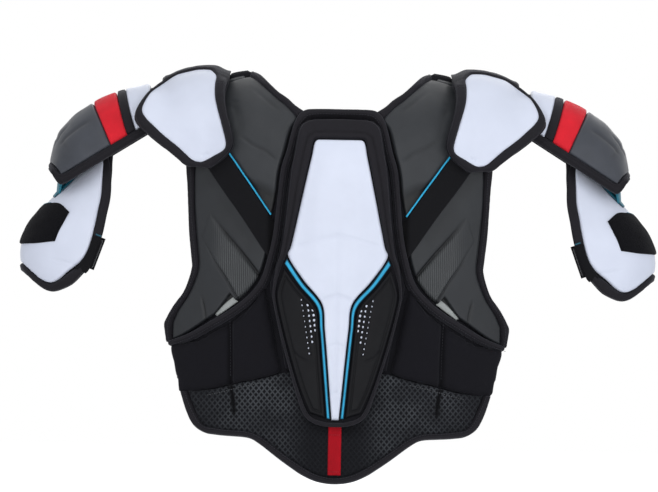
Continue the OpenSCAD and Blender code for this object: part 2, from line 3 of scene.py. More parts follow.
import bpy
import numpy as np
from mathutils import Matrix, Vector


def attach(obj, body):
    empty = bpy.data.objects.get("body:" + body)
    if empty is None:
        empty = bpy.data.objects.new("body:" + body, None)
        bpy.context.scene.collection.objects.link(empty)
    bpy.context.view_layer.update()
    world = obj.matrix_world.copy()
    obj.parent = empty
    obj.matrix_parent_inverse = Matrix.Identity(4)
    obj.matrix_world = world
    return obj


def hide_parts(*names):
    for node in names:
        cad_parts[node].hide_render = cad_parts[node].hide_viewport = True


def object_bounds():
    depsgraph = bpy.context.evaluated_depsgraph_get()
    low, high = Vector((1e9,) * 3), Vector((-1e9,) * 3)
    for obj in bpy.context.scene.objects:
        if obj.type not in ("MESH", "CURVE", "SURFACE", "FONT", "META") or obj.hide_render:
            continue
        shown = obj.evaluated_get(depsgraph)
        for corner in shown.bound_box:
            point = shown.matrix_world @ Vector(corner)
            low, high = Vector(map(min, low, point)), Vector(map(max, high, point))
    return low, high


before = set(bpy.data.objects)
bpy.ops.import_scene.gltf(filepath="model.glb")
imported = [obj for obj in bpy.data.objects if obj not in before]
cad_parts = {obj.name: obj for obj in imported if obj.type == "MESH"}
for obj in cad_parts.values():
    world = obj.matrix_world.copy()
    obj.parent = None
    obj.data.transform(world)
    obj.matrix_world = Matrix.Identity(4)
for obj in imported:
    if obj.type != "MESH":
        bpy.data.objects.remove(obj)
cad_box = [list(map(float, corner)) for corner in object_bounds()]

MM = 0.001

# ---------------------------------------------------------------- sheets, in millimetres
# The same sheets as the CAD: the back, the chest and the caps hang on arches. Most outlines are the
# CAD's too, and some are redrawn here, up to about 10 mm from it.
HALF_W, HALF_D, DROP, RISE = 215.0, 95.0, 110.0, 80.0
ARCH, SEEN = 110.0, 12.0
GAP, LINER, SHELL, PAD, BIND = 0.6, 3.0, 7.4, 10.4, 12.0
SHIELD, RIM, PLATE, WING, STRAP, TONGUE = 5.0, 4.0, 4.2, 3.0, 1.8, 2.0
SHELL_OFF = LINER + GAP
TOP_OFF = SHELL_OFF + SHELL
STRAP_OFF = TOP_OFF + GAP
SHIELD_OFF = SHELL_OFF + PAD + GAP
PLATE_OFF = SHIELD_OFF + SHIELD + GAP
CHEST_OFF = SHELL_OFF + TONGUE + GAP
CAP_TOP = 6.6
ARM_TOP = 5.6
GUARD_TOP = 5.2
ARM_LEN = 60.0
CAP_RISE = 70
ARM_BASE, ARM_TILT, ARM_AT = -8, 32, (214, 0, -30)
GUARD_BASE, GUARD_TILT, GUARD_AT = -16, 70, (275, 0, -100)
BELT_LOW, BELT_HIGH = -340, -309
LINK_LEN, LINK_W = 34.5, 30

T_TOP = [[0, 2], [100, 2], [113, 0.5], [125, -3], [140, -7], [160, -12], [180, -18], [230, -32]]
C_TOP = [[100, 7.2], [125, 9.2], [140, 10.7], [160, 11], [180, 6.5], [200, -1.5], [215, -1.5], [245, 3]]
C_HALF = [[100, 96], [125, 91], [150, 82], [180, 77], [210, 75], [245, 75]]
A_TOP = [[-26, 12.2], [-10, 18], [12, 26], [30, 31], [55, 34], [82, 32], [107, 24], [122, 9],
         [135, -6], [150, -12]]
A_HALF = [[-10, 44], [30, 49], [70, 50], [100, 46], [120, 38], [135, 30]]
G_TOP = [[-20, -2], [5, 9], [39, 25], [65, 37.5], [88, 46], [108, 48], [126, 43.5], [142, 33], [156, 20]]
G_HALF = [[-20, 28], [20, 33], [60, 41], [100, 45], [130, 43], [156, 36]]


def lookup(x, table):
    """A table's value at x, smoothed over 12 mm."""
    t = np.array(table, float)
    return sum(np.interp(x + d, t[:, 0], t[:, 1]) for d in (-6, -3, 0, 3, 6)) / 5


def arch(t, u, top, base, half, run):
    a = np.clip(u, 0, 2 * run) * math.pi / 2 / run
    y = -half * np.cos(a)
    z = base + (top - base) * np.sin(a) + np.minimum(u, 0) - np.maximum(u - 2 * run, 0)
    return np.stack([t, y, z], -1)


def torso(x, u):
    a = np.abs(x)
    top = lookup(a, T_TOP)
    half = HALF_D - DROP * (1 - np.sqrt(1 - (np.minimum(a, 208) / HALF_W) ** 2))
    return arch(x, u, top, top - RISE, half, ARCH)


def cap(x, u):
    top = lookup(x, C_TOP)
    return arch(x, u, top, top - CAP_RISE, lookup(x, C_HALF), ARCH)


def tilted(p, angle, at):
    c, s = math.cos(math.radians(angle)), math.sin(math.radians(angle))
    return np.stack([p[..., 0] * c + p[..., 2] * s + at[0], p[..., 1] + at[1],
                     -p[..., 0] * s + p[..., 2] * c + at[2]], -1)


def arm(t, u):
    return tilted(arch(t, u, lookup(t, A_TOP), ARM_BASE, lookup(t, A_HALF), ARM_LEN), ARM_TILT, ARM_AT)


def guard(t, u):
    return tilted(arch(t, u, lookup(t, G_TOP), GUARD_BASE, lookup(t, G_HALF), ARM_LEN), GUARD_TILT, GUARD_AT)


def guard_low(t, u):
    """The guard's sheet with its lower end cut off aslant towards the outside."""
    k = np.minimum(u, 2 * ARM_LEN - u)
    return guard(t - 13 * smooth((t - 92) / 45) * smooth((k - 14) / 42), u)


def normal(sheet, p):
    e = 2.0
    n = np.cross(sheet(p[..., 0] + e, p[..., 1]) - sheet(p[..., 0] - e, p[..., 1]),
                 sheet(p[..., 0], p[..., 1] + e) - sheet(p[..., 0], p[..., 1] - e))
    return n / np.linalg.norm(n, axis=-1, keepdims=True)


def off(sheet, p, o):
    p = np.asarray(p, float)
    return sheet(p[..., 0], p[..., 1]) + np.asarray(o)[..., None] * normal(sheet, p)


def reach(z, base, rise):
    k = (z - base) / (rise + SEEN)
    return np.where(k <= 0, z - base, ARCH * np.arcsin(np.clip(k, 0, 1)) * 2 / math.pi)


def lean(x):
    k = np.minimum(np.abs(x), 206) / HALF_W
    g = DROP * k / HALF_W / np.sqrt(1 - k * k)
    return np.sign(x) * g / np.sqrt(1 + g * g)


def on_back(p):
    p = np.array(p, float)
    x = p[:, 0] - SEEN * lean(p[:, 0] - SEEN * lean(p[:, 0]) / 2)
    return np.stack([x, reach(p[:, 1], lookup(np.abs(x), T_TOP) - RISE, RISE)], -1)


def on_front(p):
    q = on_back(p)
    q[:, 1] = 2 * ARCH - q[:, 1]
    return q


def on_cap(p):
    p = np.array(p, float)
    return np.stack([p[:, 0], reach(p[:, 1], lookup(p[:, 0], C_TOP) - CAP_RISE, CAP_RISE)], -1)


def flip(p):
    return np.array(p, float) * [-1, 1]


def both_ways(p):
    return [list(q) for q in p] + [[-q[0], q[1]] for q in reversed(p) if q[0] > 0.01]


def ring(p):
    return [list(q) for q in reversed(p[1:])] + [[-q[0], q[1]] for q in p[:-1]]


def across(p):
    return [list(q) for q in p] + [[q[0], 2 * ARM_LEN - q[1]] for q in reversed(p[:-1])]


def far_side(p):
    return [[q[0], 2 * ARM_LEN - q[1]] for q in p]


def slant(te, tc, us=(4, 12, 24, 36, 48, 60, 72, 84, 96, 108, 116)):
    return [[te + (tc - te) * math.sin(math.radians(min(180, max(0, 90 * u / ARM_LEN)))), u] for u in us]


def saddle(p, x):
    q = on_cap(p)
    return np.concatenate([q, [[x, ARCH]], q[::-1] * [1, -1] + [0, 2 * ARCH]])


# ---------------------------------------------------------------- lines and meshes
def spline(p, n, loop=False):
    p = np.array(p, float)
    m = len(p) if loop else len(p) - 1
    k = np.arange(n)[:, None] / n
    out = []
    for i in range(m):
        if loop:
            a, b, c, d = (p[(i + j) % len(p)] for j in (-1, 0, 1, 2))
        else:
            a, b, c, d = p[max(i - 1, 0)], p[i], p[i + 1], p[min(i + 2, m)]
        out.append(0.5 * (2 * b + (c - a) * k + (2 * a - 5 * b + 4 * c - d) * k ** 2
                          + (3 * b - a - 3 * c + d) * k ** 3))
    out.append(p[:1] if loop else p[-1:])
    return np.concatenate(out)


def even(lines, step, loop=False):
    """The same lines with points a step apart, kept in pairs."""
    lines = [spline(p, 10, loop) for p in lines]
    run = sum(np.linalg.norm(np.diff(p, axis=0), axis=1) for p in lines) / len(lines)
    s = np.concatenate([[0], np.cumsum(run)])
    n = max(2, int(round(s[-1] / step)))
    t = np.linspace(0, s[-1], n + 1)
    return [np.stack([np.interp(t, s, p[:, 0]), np.interp(t, s, p[:, 1])], -1) for p in lines], t


def nearest(points, border):
    d = np.empty(len(points))
    for i in range(0, len(points), 2000):
        q = points[i:i + 2000]
        d[i:i + 2000] = np.sqrt(((q[:, None] - border[None]) ** 2).sum(-1).min(1))
    return d


def to_line(p, line):
    """Distance from points to a line of straight spans, and the share of the way along it."""
    line = np.array(line, float)
    best = np.full(p.shape[:-1], 1e9)
    along = np.zeros(p.shape[:-1])
    runs = np.linalg.norm(np.diff(line, axis=0), axis=1)
    total, done = runs.sum(), 0.0
    for a, b, r in zip(line[:-1], line[1:], runs):
        k = np.clip(((p - a) @ (b - a)) / r ** 2, 0, 1)
        d = np.linalg.norm(p - a - k[..., None] * (b - a), axis=-1)
        along = np.where(d < best, (done + k * r) / total, along)
        best = np.minimum(best, d)
        done += r
    return best, along


def inside(p, poly):
    poly = np.array(poly, float)
    hit = np.zeros(p.shape[:-1], bool)
    for (x1, z1), (x2, z2) in zip(poly, np.roll(poly, -1, 0)):
        if z1 == z2:
            continue
        cross = (z1 > p[..., 1]) != (z2 > p[..., 1])
        hit ^= cross & (p[..., 0] < (x2 - x1) * (p[..., 1] - z1) / (z2 - z1) + x1)
    return hit


def rays(poly, at, n=150, more=0.0):
    """A closed line as n points seen from inside, evenly round it, pushed out by more."""
    d = spline(poly, 24, True) - at
    a, r = np.arctan2(d[:, 1], d[:, 0]), np.hypot(d[:, 0], d[:, 1])
    k = np.argsort(a)
    t = np.arange(n) * 2 * math.pi / n - math.pi
    r = np.interp(t, a[k], r[k], period=2 * math.pi)
    r = sum(np.roll(r, i) for i in (-1, 0, 1)) / 3 + more
    return np.stack([at[0] + r * np.cos(t), at[1] + r * np.sin(t)], -1)


def smooth(k):
    k = np.clip(k, 0, 1)
    return k * k * (3 - 2 * k)


def bell(x, w):
    """1 at x = 0, fading away over about w."""
    return np.exp(-(x / w) ** 2)


def down(z):
    """Rough place on the torso's sheet of a point below the arch, at height z."""
    return np.minimum(0, z + 85)


def wobble(p, size, seed=0.0):
    """Soft repeatable unevenness, from -1 to 1."""
    x, y, z = (p[..., i] / size for i in range(3))
    return (np.sin(2.1 * x + 1.3 * z + seed) * np.sin(1.7 * z - 0.9 * y + 2 * seed)
            + np.sin(1.1 * x - 2.3 * z + 3 * seed) * np.sin(0.7 * x + 1.9 * y + seed)) / 2


class Shape:
    """Vertices in millimetres, faces, and per-vertex values for the materials."""

    def __init__(self, v, f, uv=None, edge=None, dent=None):
        self.v, self.f = np.asarray(v, float), [tuple(int(i) for i in q) for q in f]
        n = len(self.v)
        self.uv = np.zeros((n, 2)) if uv is None else uv
        self.edge = np.zeros(n) if edge is None else edge
        self.dent = np.zeros(n) if dent is None else dent

    def __add__(self, o):
        n = len(self.v)
        return Shape(np.concatenate([self.v, o.v]), self.f + [tuple(i + n for i in q) for q in o.f],
                     np.concatenate([self.uv, o.uv]), np.concatenate([self.edge, o.edge]),
                     np.concatenate([self.dent, o.dent]))

    def mirrored(self):
        return Shape(self.v * [-1, 1, 1], [q[::-1] for q in self.f], self.uv, self.edge, self.dent)

    def pair(self):
        return self + self.mirrored()


def panel(sheet, a, b, lo, hi, step=2.0, r=3.0, keep=0.3, crown=0.0, loop=False, dent=None, cols=None):
    """A thick patch between two lines, rounded over r at its border, crowned in the middle and
    dented by dent(P, G, D): surface points, sheet points and distance from the border."""
    (A, B), s = even([a, b], step, loop)
    if loop:
        A, B, s = A[:-1], B[:-1], s[:-1]
    width = np.linalg.norm(A - B, axis=1).mean()
    n = cols or max(3, int(round(width / step)))
    v = np.linspace(0, 1, n + 1)
    if r < width / 3 and not cols:
        v = (v + 0.25 * np.sin(2 * math.pi * -v) / (2 * math.pi))
    G = A[:, None] * (1 - v)[None, :, None] + B[:, None] * v[None, :, None]
    m = len(A)
    P = off(sheet, G, hi)
    rim = [P[:, 0], P[:, -1]] + ([] if loop else [P[0], P[-1]])
    D = nearest(P.reshape(-1, 3), np.concatenate(rim)).reshape(m, n + 1)
    k = 1 - np.clip(D / r, 0, 1)
    o = lo + (hi - lo) * (keep + (1 - keep) * np.sqrt(np.clip(1 - k * k, 0, 1)))
    if crown:
        o = o + crown * (smooth(D / max(D.max(), 1)) - 0.15)
    cut = np.zeros_like(o)
    if dent is not None:
        cut = dent(P, G, D)
        o = o - cut
    o = np.maximum(o, lo + 0.35)
    top = off(sheet, G, o)
    low = off(sheet, G, lo)
    w = n + 1
    uv = np.stack(np.broadcast_arrays(s[:, None], (v * width)[None, :]), -1) * MM
    edge = bell(D, 2.2)
    V = np.concatenate([top.reshape(-1, 3), low.reshape(-1, 3)])
    UV = np.concatenate([uv.reshape(-1, 2)] * 2)
    E = np.concatenate([edge.ravel(), edge.ravel()])
    # each point's dent depth, up to 3 mm, goes to the materials, which paint shade into dents and creases from it
    C = np.concatenate([np.clip(cut, 0, 3).ravel() / 3, np.zeros(m * w)])
    d = A[1:] - A[:-1]
    c = (B - A)[:-1]
    turn = (c[:, 0] * d[:, 1] - c[:, 1] * d[:, 0]).sum() > 0
    rows = m if loop else m - 1
    i = np.arange(rows)[:, None]
    j = np.arange(n)[None]
    p, q = i * w + j, ((i + 1) % m) * w + j
    t = np.stack([p, q, q + 1, p + 1], -1).reshape(-1, 4)
    h = m * w
    F = [t[:, ::-1], t + h]
    pi, qi = np.arange(rows) * w, ((np.arange(rows) + 1) % m) * w
    F.append(np.stack([pi, qi, qi + h, pi + h], -1))
    F.append(np.stack([pi + n, pi + n + h, qi + n + h, qi + n], -1))
    if not loop:
        jj, z = np.arange(n), (m - 1) * w
        F.append(np.stack([jj, jj + h, jj + 1 + h, jj + 1], -1))
        F.append(np.stack([z + jj, z + jj + 1, z + jj + 1 + h, z + jj + h], -1))
    F = np.concatenate(F)
    if not turn:
        F = F[:, ::-1]
    return Shape(V, F, UV, E, C)


def tube(path, radius, sides=8, closed=False, flat=1.0, up=None):
    """A rounded cord or roll along 3D points."""
    path = np.asarray(path, float)
    m = len(path)
    d = np.gradient(path, axis=0) if not closed else np.roll(path, -1, 0) - np.roll(path, 1, 0)
    d /= np.linalg.norm(d, axis=1, keepdims=True)
    up = np.array([0, 1, 0.0]) if up is None else up
    a = np.cross(d, up)
    a /= np.maximum(np.linalg.norm(a, axis=1, keepdims=True), 1e-6)
    b = np.cross(a, d)
    r = np.broadcast_to(np.asarray(radius, float), (m,))
    t = np.arange(sides) * 2 * math.pi / sides
    V = path[:, None] + r[:, None, None] * (np.cos(t)[None, :, None] * a[:, None]
                                            + flat * np.sin(t)[None, :, None] * b[:, None])
    rows = m if closed else m - 1
    F = [(i * sides + j, i * sides + (j + 1) % sides, (i + 1) % m * sides + (j + 1) % sides,
          (i + 1) % m * sides + j) for i in range(rows) for j in range(sides)]
    if not closed:
        F += [tuple(range(sides))[::-1], tuple(range((m - 1) * sides, m * sides))]
    s = np.concatenate([[0], np.cumsum(np.linalg.norm(np.diff(path, axis=0), axis=1))])
    uv = np.stack(np.broadcast_arrays(s[:, None], (t * r.mean())[None]), -1).reshape(-1, 2) * MM
    return Shape(V.reshape(-1, 3), F, uv)


def stitches(points, pitch=3.2, length=2.2, radius=0.32):
    """A row of separate thread stitches along 3D points."""
    p = np.asarray(points, float)
    s = np.concatenate([[0], np.cumsum(np.linalg.norm(np.diff(p, axis=0), axis=1))])
    n = int(s[-1] / pitch)
    rings = [(-0.5, 0.35), (-0.3, 1.0), (0.3, 1.0), (0.5, 0.35)]
    V, F = [], []
    for i in range(n):
        c = (i + 0.5) * pitch
        at = [np.interp(c + k * length, s, p[:, j]) for k, _ in rings for j in range(3)]
        at = np.array(at).reshape(4, 3)
        d = at[3] - at[0]
        d /= np.linalg.norm(d)
        a = np.cross(d, [0.1, 1, 0.2])
        a /= np.linalg.norm(a)
        b = np.cross(d, a)
        base = len(V)
        for (k, w), q in zip(rings, at):
            for t in range(5):
                g = t * 2 * math.pi / 5
                V.append(q + radius * w * (math.cos(g) * a + math.sin(g) * b))
        for r in range(3):
            for t in range(5):
                F.append((base + r * 5 + t, base + r * 5 + (t + 1) % 5,
                          base + (r + 1) * 5 + (t + 1) % 5, base + (r + 1) * 5 + t))
        F.append(tuple(base + t for t in range(5))[::-1])
        F.append(tuple(base + 15 + t for t in range(5)))
    return Shape(np.array(V).reshape(-1, 3), F)


def run_on(sheet, line, offset, step=1.5, loop=False):
    (a, _), _ = even([line, line], step, loop)
    return off(sheet, a, offset)


def points(mesh):
    co = np.empty(len(mesh.vertices) * 3, np.float32)
    mesh.vertices.foreach_get("co", co)
    return co.reshape(-1, 3)


def give(mesh, name, values):
    """Per-vertex values for the materials."""
    a = mesh.attributes.get(name) or mesh.attributes.new(name, "FLOAT", "POINT")
    a.data.foreach_set("value", np.asarray(values, np.float32))


def piece(name, shape, material, body, replaces=(), mirror=False):
    if mirror:
        shape = shape.mirrored()
    mesh = bpy.data.meshes.new(name)
    mesh.from_pydata((shape.v * MM).tolist(), [], shape.f)
    mesh.update()
    mesh.shade_smooth()
    uv = mesh.uv_layers.new(name="UVMap")
    index = np.empty(len(mesh.loops), int)
    mesh.loops.foreach_get("vertex_index", index)
    uv.data.foreach_set("uv", shape.uv[index].astype(np.float32).ravel())
    give(mesh, "edge", shape.edge)
    give(mesh, "dent", shape.dent)
    mesh.materials.append(material)
    obj = bpy.data.objects.new(name, mesh)
    bpy.context.scene.collection.objects.link(obj)
    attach(obj, body)
    if replaces:
        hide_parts(*replaces)
    return obj


def puffed(obj, pressure=4.0, cap=6.0, voxel=5.0, frames=20):
    """The pad filled by a cloth simulation: remeshed, blown up a little, then smoothed."""
    scene = bpy.context.scene
    bpy.context.view_layer.objects.active = obj
    m = obj.modifiers.new("remesh", "REMESH")
    m.mode, m.voxel_size = "VOXEL", voxel * MM
    bake(obj)
    rest = points(obj.data)
    c = obj.modifiers.new("cloth", "CLOTH").settings
    cloth = obj.modifiers["cloth"]
    c.quality = 6
    c.mass = 0.2
    c.tension_stiffness = c.compression_stiffness = 18
    c.bending_stiffness = 0.6
    c.use_pressure = True
    c.uniform_pressure_force = pressure
    c.effector_weights.gravity = 0
    cloth.collision_settings.use_self_collision = False
    cloth.point_cache.frame_start, cloth.point_cache.frame_end = 1, frames
    for f in range(1, frames + 1):
        scene.frame_set(f)
    deps = bpy.context.evaluated_depsgraph_get()
    got = points(obj.evaluated_get(deps).to_mesh())
    obj.evaluated_get(deps).to_mesh_clear()
    obj.modifiers.remove(cloth)
    move = got - rest
    far = np.linalg.norm(move, axis=1, keepdims=True)
    move *= np.minimum(1, cap * MM / np.maximum(far, 1e-9))
    obj.data.vertices.foreach_set("co", (rest + move).ravel())
    scene.frame_set(1)
    s = obj.modifiers.new("smooth", "SUBSURF")
    s.levels = s.render_levels = 1
    bake(obj)
    obj.data.shade_smooth()
    return obj


def bake(obj):
    deps = bpy.context.evaluated_depsgraph_get()
    mesh = bpy.data.meshes.new_from_object(obj.evaluated_get(deps))
    old = obj.data
    obj.modifiers.clear()
    obj.data = mesh
    bpy.data.meshes.remove(old)
    mesh.name = obj.name


def reshape(obj, move):
    """Move every vertex by move(points in mm)."""
    p = points(obj.data) / MM
    obj.data.vertices.foreach_set("co", ((p + move(p)) * MM).astype(np.float32).ravel())
    obj.data.update()


# ---------------------------------------------------------------- materials
class Look:
    """A small helper for building node materials."""

    def __init__(self, name, color, rough=0.5, metallic=0.0, spec=0.3):
        m = self.m = bpy.data.materials.new(name)
        m.use_nodes = True
        m.diffuse_color = (*color, 1)
        self.nt = m.node_tree
        self.nt.nodes.clear()
        out = self.nt.nodes.new("ShaderNodeOutputMaterial")
        self.b = self.nt.nodes.new("ShaderNodeBsdfPrincipled")
        self.nt.links.new(self.b.outputs[0], out.inputs[0])
        self.b.inputs["Base Color"].default_value = (*color, 1)
        self.b.inputs["Roughness"].default_value = rough
        self.b.inputs["Metallic"].default_value = metallic
        self.b.inputs["Specular IOR Level"].default_value = spec
        co = self.nt.nodes.new("ShaderNodeTexCoord")
        self.obj = self.scaled(co.outputs["Object"], 1000)
        self.uv = self.scaled(co.outputs["UV"], 1000)

    def node(self, kind, **props):
        n = self.nt.nodes.new(kind)
        for k, v in props.items():
            setattr(n, k, v)
        return n

    def put(self, socket, value):
        if hasattr(value, "links") or hasattr(value, "is_linked"):
            self.nt.links.new(value, socket)
        else:
            socket.default_value = value

    def scaled(self, vec, k):
        n = self.node("ShaderNodeVectorMath", operation="MULTIPLY")
        self.put(n.inputs[0], vec)
        n.inputs[1].default_value = k if isinstance(k, tuple) else (k, k, k)
        return n.outputs[0]

    def math(self, op, a, b=0.0, c=0.0, clamp=False):
        n = self.node("ShaderNodeMath", operation=op, use_clamp=clamp)
        for s, v in zip(n.inputs, (a, b, c)):
            self.put(s, v)
        return n.outputs[0]

    def mul(self, a, b, clamp=False):
        return self.math("MULTIPLY", a, b, clamp=clamp)

    def sine(self, x, k):
        return self.math("SINE", self.mul(x, k))

    def half(self, v):
        """From -1 to 1, to 0 to 1."""
        return self.math("MULTIPLY_ADD", v, 0.5, 0.5)

    def under(self, name):
        """What feeds an input already, to build on it."""
        return self.b.inputs[name].links[0].from_socket

    def xyz(self, vec):
        n = self.node("ShaderNodeSeparateXYZ")
        self.put(n.inputs[0], vec)
        return n.outputs

    def noise(self, size, detail=2.0, rough=0.5, vec=None, stretch=None):
        n = self.node("ShaderNodeTexNoise")
        v = vec or self.obj
        if stretch:
            v = self.scaled(v, stretch)
        self.put(n.inputs["Vector"], v)
        n.inputs["Scale"].default_value = 1.0 / size
        n.inputs["Detail"].default_value = detail
        n.inputs["Roughness"].default_value = rough
        return n.outputs["Fac"]

    def voronoi(self, size, vec=None, feature="F1", random=1.0):
        n = self.node("ShaderNodeTexVoronoi", feature=feature)
        self.put(n.inputs["Vector"], vec or self.obj)
        n.inputs["Scale"].default_value = 1.0 / size
        n.inputs["Randomness"].default_value = random
        return n.outputs["Distance"]

    def attr(self, name):
        return self.node("ShaderNodeAttribute", attribute_name=name).outputs["Fac"]

    def span(self, v, a, b, lo=0.0, hi=1.0, soft=False):
        n = self.node("ShaderNodeMapRange", interpolation_type="SMOOTHSTEP" if soft else "LINEAR")
        for s, x in zip(n.inputs, (v, a, b, lo, hi)):
            self.put(s, x)
        return n.outputs[0]

    def blend(self, fac, a, b, mode="MIX"):
        n = self.node("ShaderNodeMix", data_type="RGBA", blend_type=mode)
        self.put(n.inputs[0], fac)
        for s, v in ((n.inputs[6], a), (n.inputs[7], b)):
            self.put(s, (*v, 1) if isinstance(v, tuple) else v)
        return n.outputs[2]

    def weave(self, pitch, vec=None, axes=(0, 1), ratio=1.0):
        """A plain weave's height: threads along and across take turns on top."""
        parts = self.xyz(vec or self.uv)
        k = 2 * math.pi / pitch
        a = self.sine(parts[axes[0]], k)
        b = self.sine(parts[axes[1]], k * ratio)
        return self.half(self.mul(a, b))

    def ribs(self, pitch, axis):
        return self.half(self.sine(self.xyz(self.obj)[axis], 2 * math.pi / pitch))

    def color(self, v):
        self.put(self.b.inputs["Base Color"], v)

    def rough(self, v):
        self.put(self.b.inputs["Roughness"], v)

    def bump(self, *layers, over=None):
        """Layers of (height, depth in mm), laid over each other and over what is there."""
        last = over
        for height, depth in layers:
            n = self.node("ShaderNodeBump")
            n.inputs["Strength"].default_value = 1.0
            n.inputs["Distance"].default_value = depth * MM
            self.put(n.inputs["Height"], height)
            if last is not None:
                self.put(n.inputs["Normal"], last)
            last = n.outputs[0]
        self.put(self.b.inputs["Normal"], last)


def tint(c, k):
    return tuple(min(1.0, x * k) for x in c)


def moulded(name, base, rough=0.52, grain=0.06, wear=0.35, spec=0.26):
    """Thin moulded foam or plastic skin: fine grain, cloudy tone, rubbed edges, and painted shade in its dents."""
    L = Look(name, base, rough, spec=spec)
    cloud = L.noise(38, 3, 0.6)
    fine = L.noise(0.9, 2, 0.6)
    c = L.blend(L.span(cloud, 0.3, 0.7), tint(base, 0.90), tint(base, 1.08))
    edge = L.mul(L.attr("edge"), L.span(L.noise(9, 4, 0.7), 0.42, 0.75))
    c = L.blend(L.mul(edge, wear), c, tint(base, 1.6))
    # painted shade: the deeper a point is dented, the darker its colour
    c = L.blend(L.mul(L.attr("dent"), 0.9, clamp=True), c, tint(base, 0.25))
    L.color(c)
    L.rough(L.math("ADD", L.mul(L.noise(14, 3), 0.18), rough - 0.09))
    L.bump((fine, grain), (cloud, 0.4), (L.noise(5, 3), 0.05))
    L.b.inputs["Coat Weight"].default_value = 0.04
    L.b.inputs["Coat Roughness"].default_value = 0.4
    return L


def cloth(name, base, pitch=1.3, depth=0.10, rough=0.9, uv=False, sheen=0.05, twill=False, tone=0.18):
    """Knitted or woven fabric, with painted shade darkening its dents."""
    L = Look(name, base, rough, spec=0.13)
    if twill:
        x, y = L.xyz(L.uv)[:2]
        w = L.half(L.sine(L.math("ADD", x, y), 2 * math.pi / pitch))
    else:
        w = L.weave(pitch) if uv else L.weave(pitch, L.obj, (0, 2), 0.8)
    cloud = L.noise(26, 3, 0.55)
    fuzz = L.noise(0.7, 2, 0.7)
    c = L.blend(w, tint(base, 1 - tone), tint(base, 1 + tone))
    c = L.blend(L.span(cloud, 0.35, 0.7), c, tint(base, 1.22))
    worn = L.mul(L.attr("edge"), L.span(L.noise(7, 3, 0.7), 0.4, 0.8))
    c = L.blend(L.mul(worn, 0.35), c, tint(base, 2.0))
    # painted shade: the deeper a point is dented, the darker its colour
    c = L.blend(L.mul(L.attr("dent"), 0.8, clamp=True), c, tint(base, 0.3))
    L.color(c)
    L.rough(L.span(cloud, 0.2, 0.8, rough - 0.06, rough + 0.05))
    L.bump((w, depth), (fuzz, 0.05), (L.noise(11, 2), 0.35))
    L.b.inputs["Sheen Weight"].default_value = sheen
    L.b.inputs["Sheen Roughness"].default_value = 0.45
    L.b.inputs["Sheen Tint"].default_value = (0.75, 0.78, 0.9, 1)
    return L


WHITE = (0.715, 0.757, 0.873)
GREY = (0.0285, 0.0312, 0.0350)
BLACK = (0.0062, 0.0060, 0.0082)
EDGE = (0.0120, 0.0112, 0.0140)


def white_look(name, base=WHITE):
    L = Look(name, base, 0.42)
    cloud = L.noise(60, 3, 0.55)
    scuff = L.noise(3.2, 5, 0.75, stretch=(1, 1, 0.25))
    c = L.blend(L.span(cloud, 0.35, 0.68), tint(base, 0.965), tint(base, 1.02))
    c = L.blend(L.mul(L.span(scuff, 0.66, 0.8), 0.12), c, (0.42, 0.45, 0.52))
    c = L.blend(L.mul(L.attr("edge"), 0.10), c, (0.45, 0.48, 0.58))
    # painted shade: dents and grooves are tinted a darker blue-grey
    c = L.blend(L.mul(L.attr("dent"), 0.30, clamp=True), c, (0.46, 0.50, 0.62))
    L.color(c)
    L.rough(L.span(L.noise(12, 3), 0.3, 0.7, 0.38, 0.50))
    L.bump((L.noise(0.8, 2, 0.6), 0.03), (L.weave(1.1, L.obj), 0.015), (L.noise(30, 2), 0.7))
    L.b.inputs["Coat Weight"].default_value = 0.12
    L.b.inputs["Coat Roughness"].default_value = 0.3
    return L


white = white_look("white_panel").m
grey = moulded("grey_foam", GREY).m
grey_arm = moulded("grey_arm", (0.052, 0.057, 0.0688), 0.46, wear=0.4).m
wing_look = moulded("wing_plastic", (0.0040, 0.0042, 0.0056), 0.46, 0.04, 0.5, spec=0.08).m
fabric = cloth("black_fabric", BLACK, 1.5).m
foam_black = cloth("black_padding", (0.0090, 0.0088, 0.0110), 1.2, 0.08, sheen=0.05).m
binding = cloth("edge_binding", EDGE, 1.6, 0.10, 0.72, uv=True, twill=True, sheen=0.10).m
lining = cloth("mesh_lining", (0.012, 0.012, 0.015), 2.4, 0.35, tone=0.4).m
elastic = cloth("elastic", (0.0050, 0.0050, 0.0062), 1.3, 0.18, 0.85, uv=True, sheen=0.05).m
red = cloth("red_fabric", (0.66, 0.016, 0.028), 1.1, 0.10, 0.62, uv=True, sheen=0.06, tone=0.08).m
tab_red = cloth("red_webbing", (0.36, 0.004, 0.011), 1.6, 0.18, 0.75, uv=True, sheen=0.05, tone=0.14).m
silver = moulded("silver_mesh", (0.36, 0.38, 0.37), 0.45, 0.10).m
thread = cloth("thread", (0.035, 0.035, 0.042), 0.5, 0.05, 0.6).m
thread_pale = cloth("thread_pale", (0.075, 0.078, 0.082), 0.5, 0.05, 0.6).m
thread_red = cloth("thread_red", (0.45, 0.03, 0.045), 0.5, 0.05, 0.6).m


def blue_look(name, base):
    L = Look(name, base, 0.45)
    w = L.weave(1.0)
    c = L.blend(w, tint(base, 0.85), tint(base, 1.1))
    c = L.blend(L.span(L.noise(18, 3), 0.35, 0.7), c, tint(base, 1.25))
    c = L.blend(L.span(L.attr("edge"), 0.55, 0.95), c, (0.008, 0.03, 0.05))
    L.color(c)
    L.rough(L.span(L.noise(6, 3), 0.3, 0.7, 0.38, 0.55))
    L.bump((w, 0.06), (L.noise(2.5, 3), 0.06))
    return L.m


blue = blue_look("blue_piping", (0.022, 0.36, 0.60))
teal = blue_look("teal_link", (0.010, 0.150, 0.215))


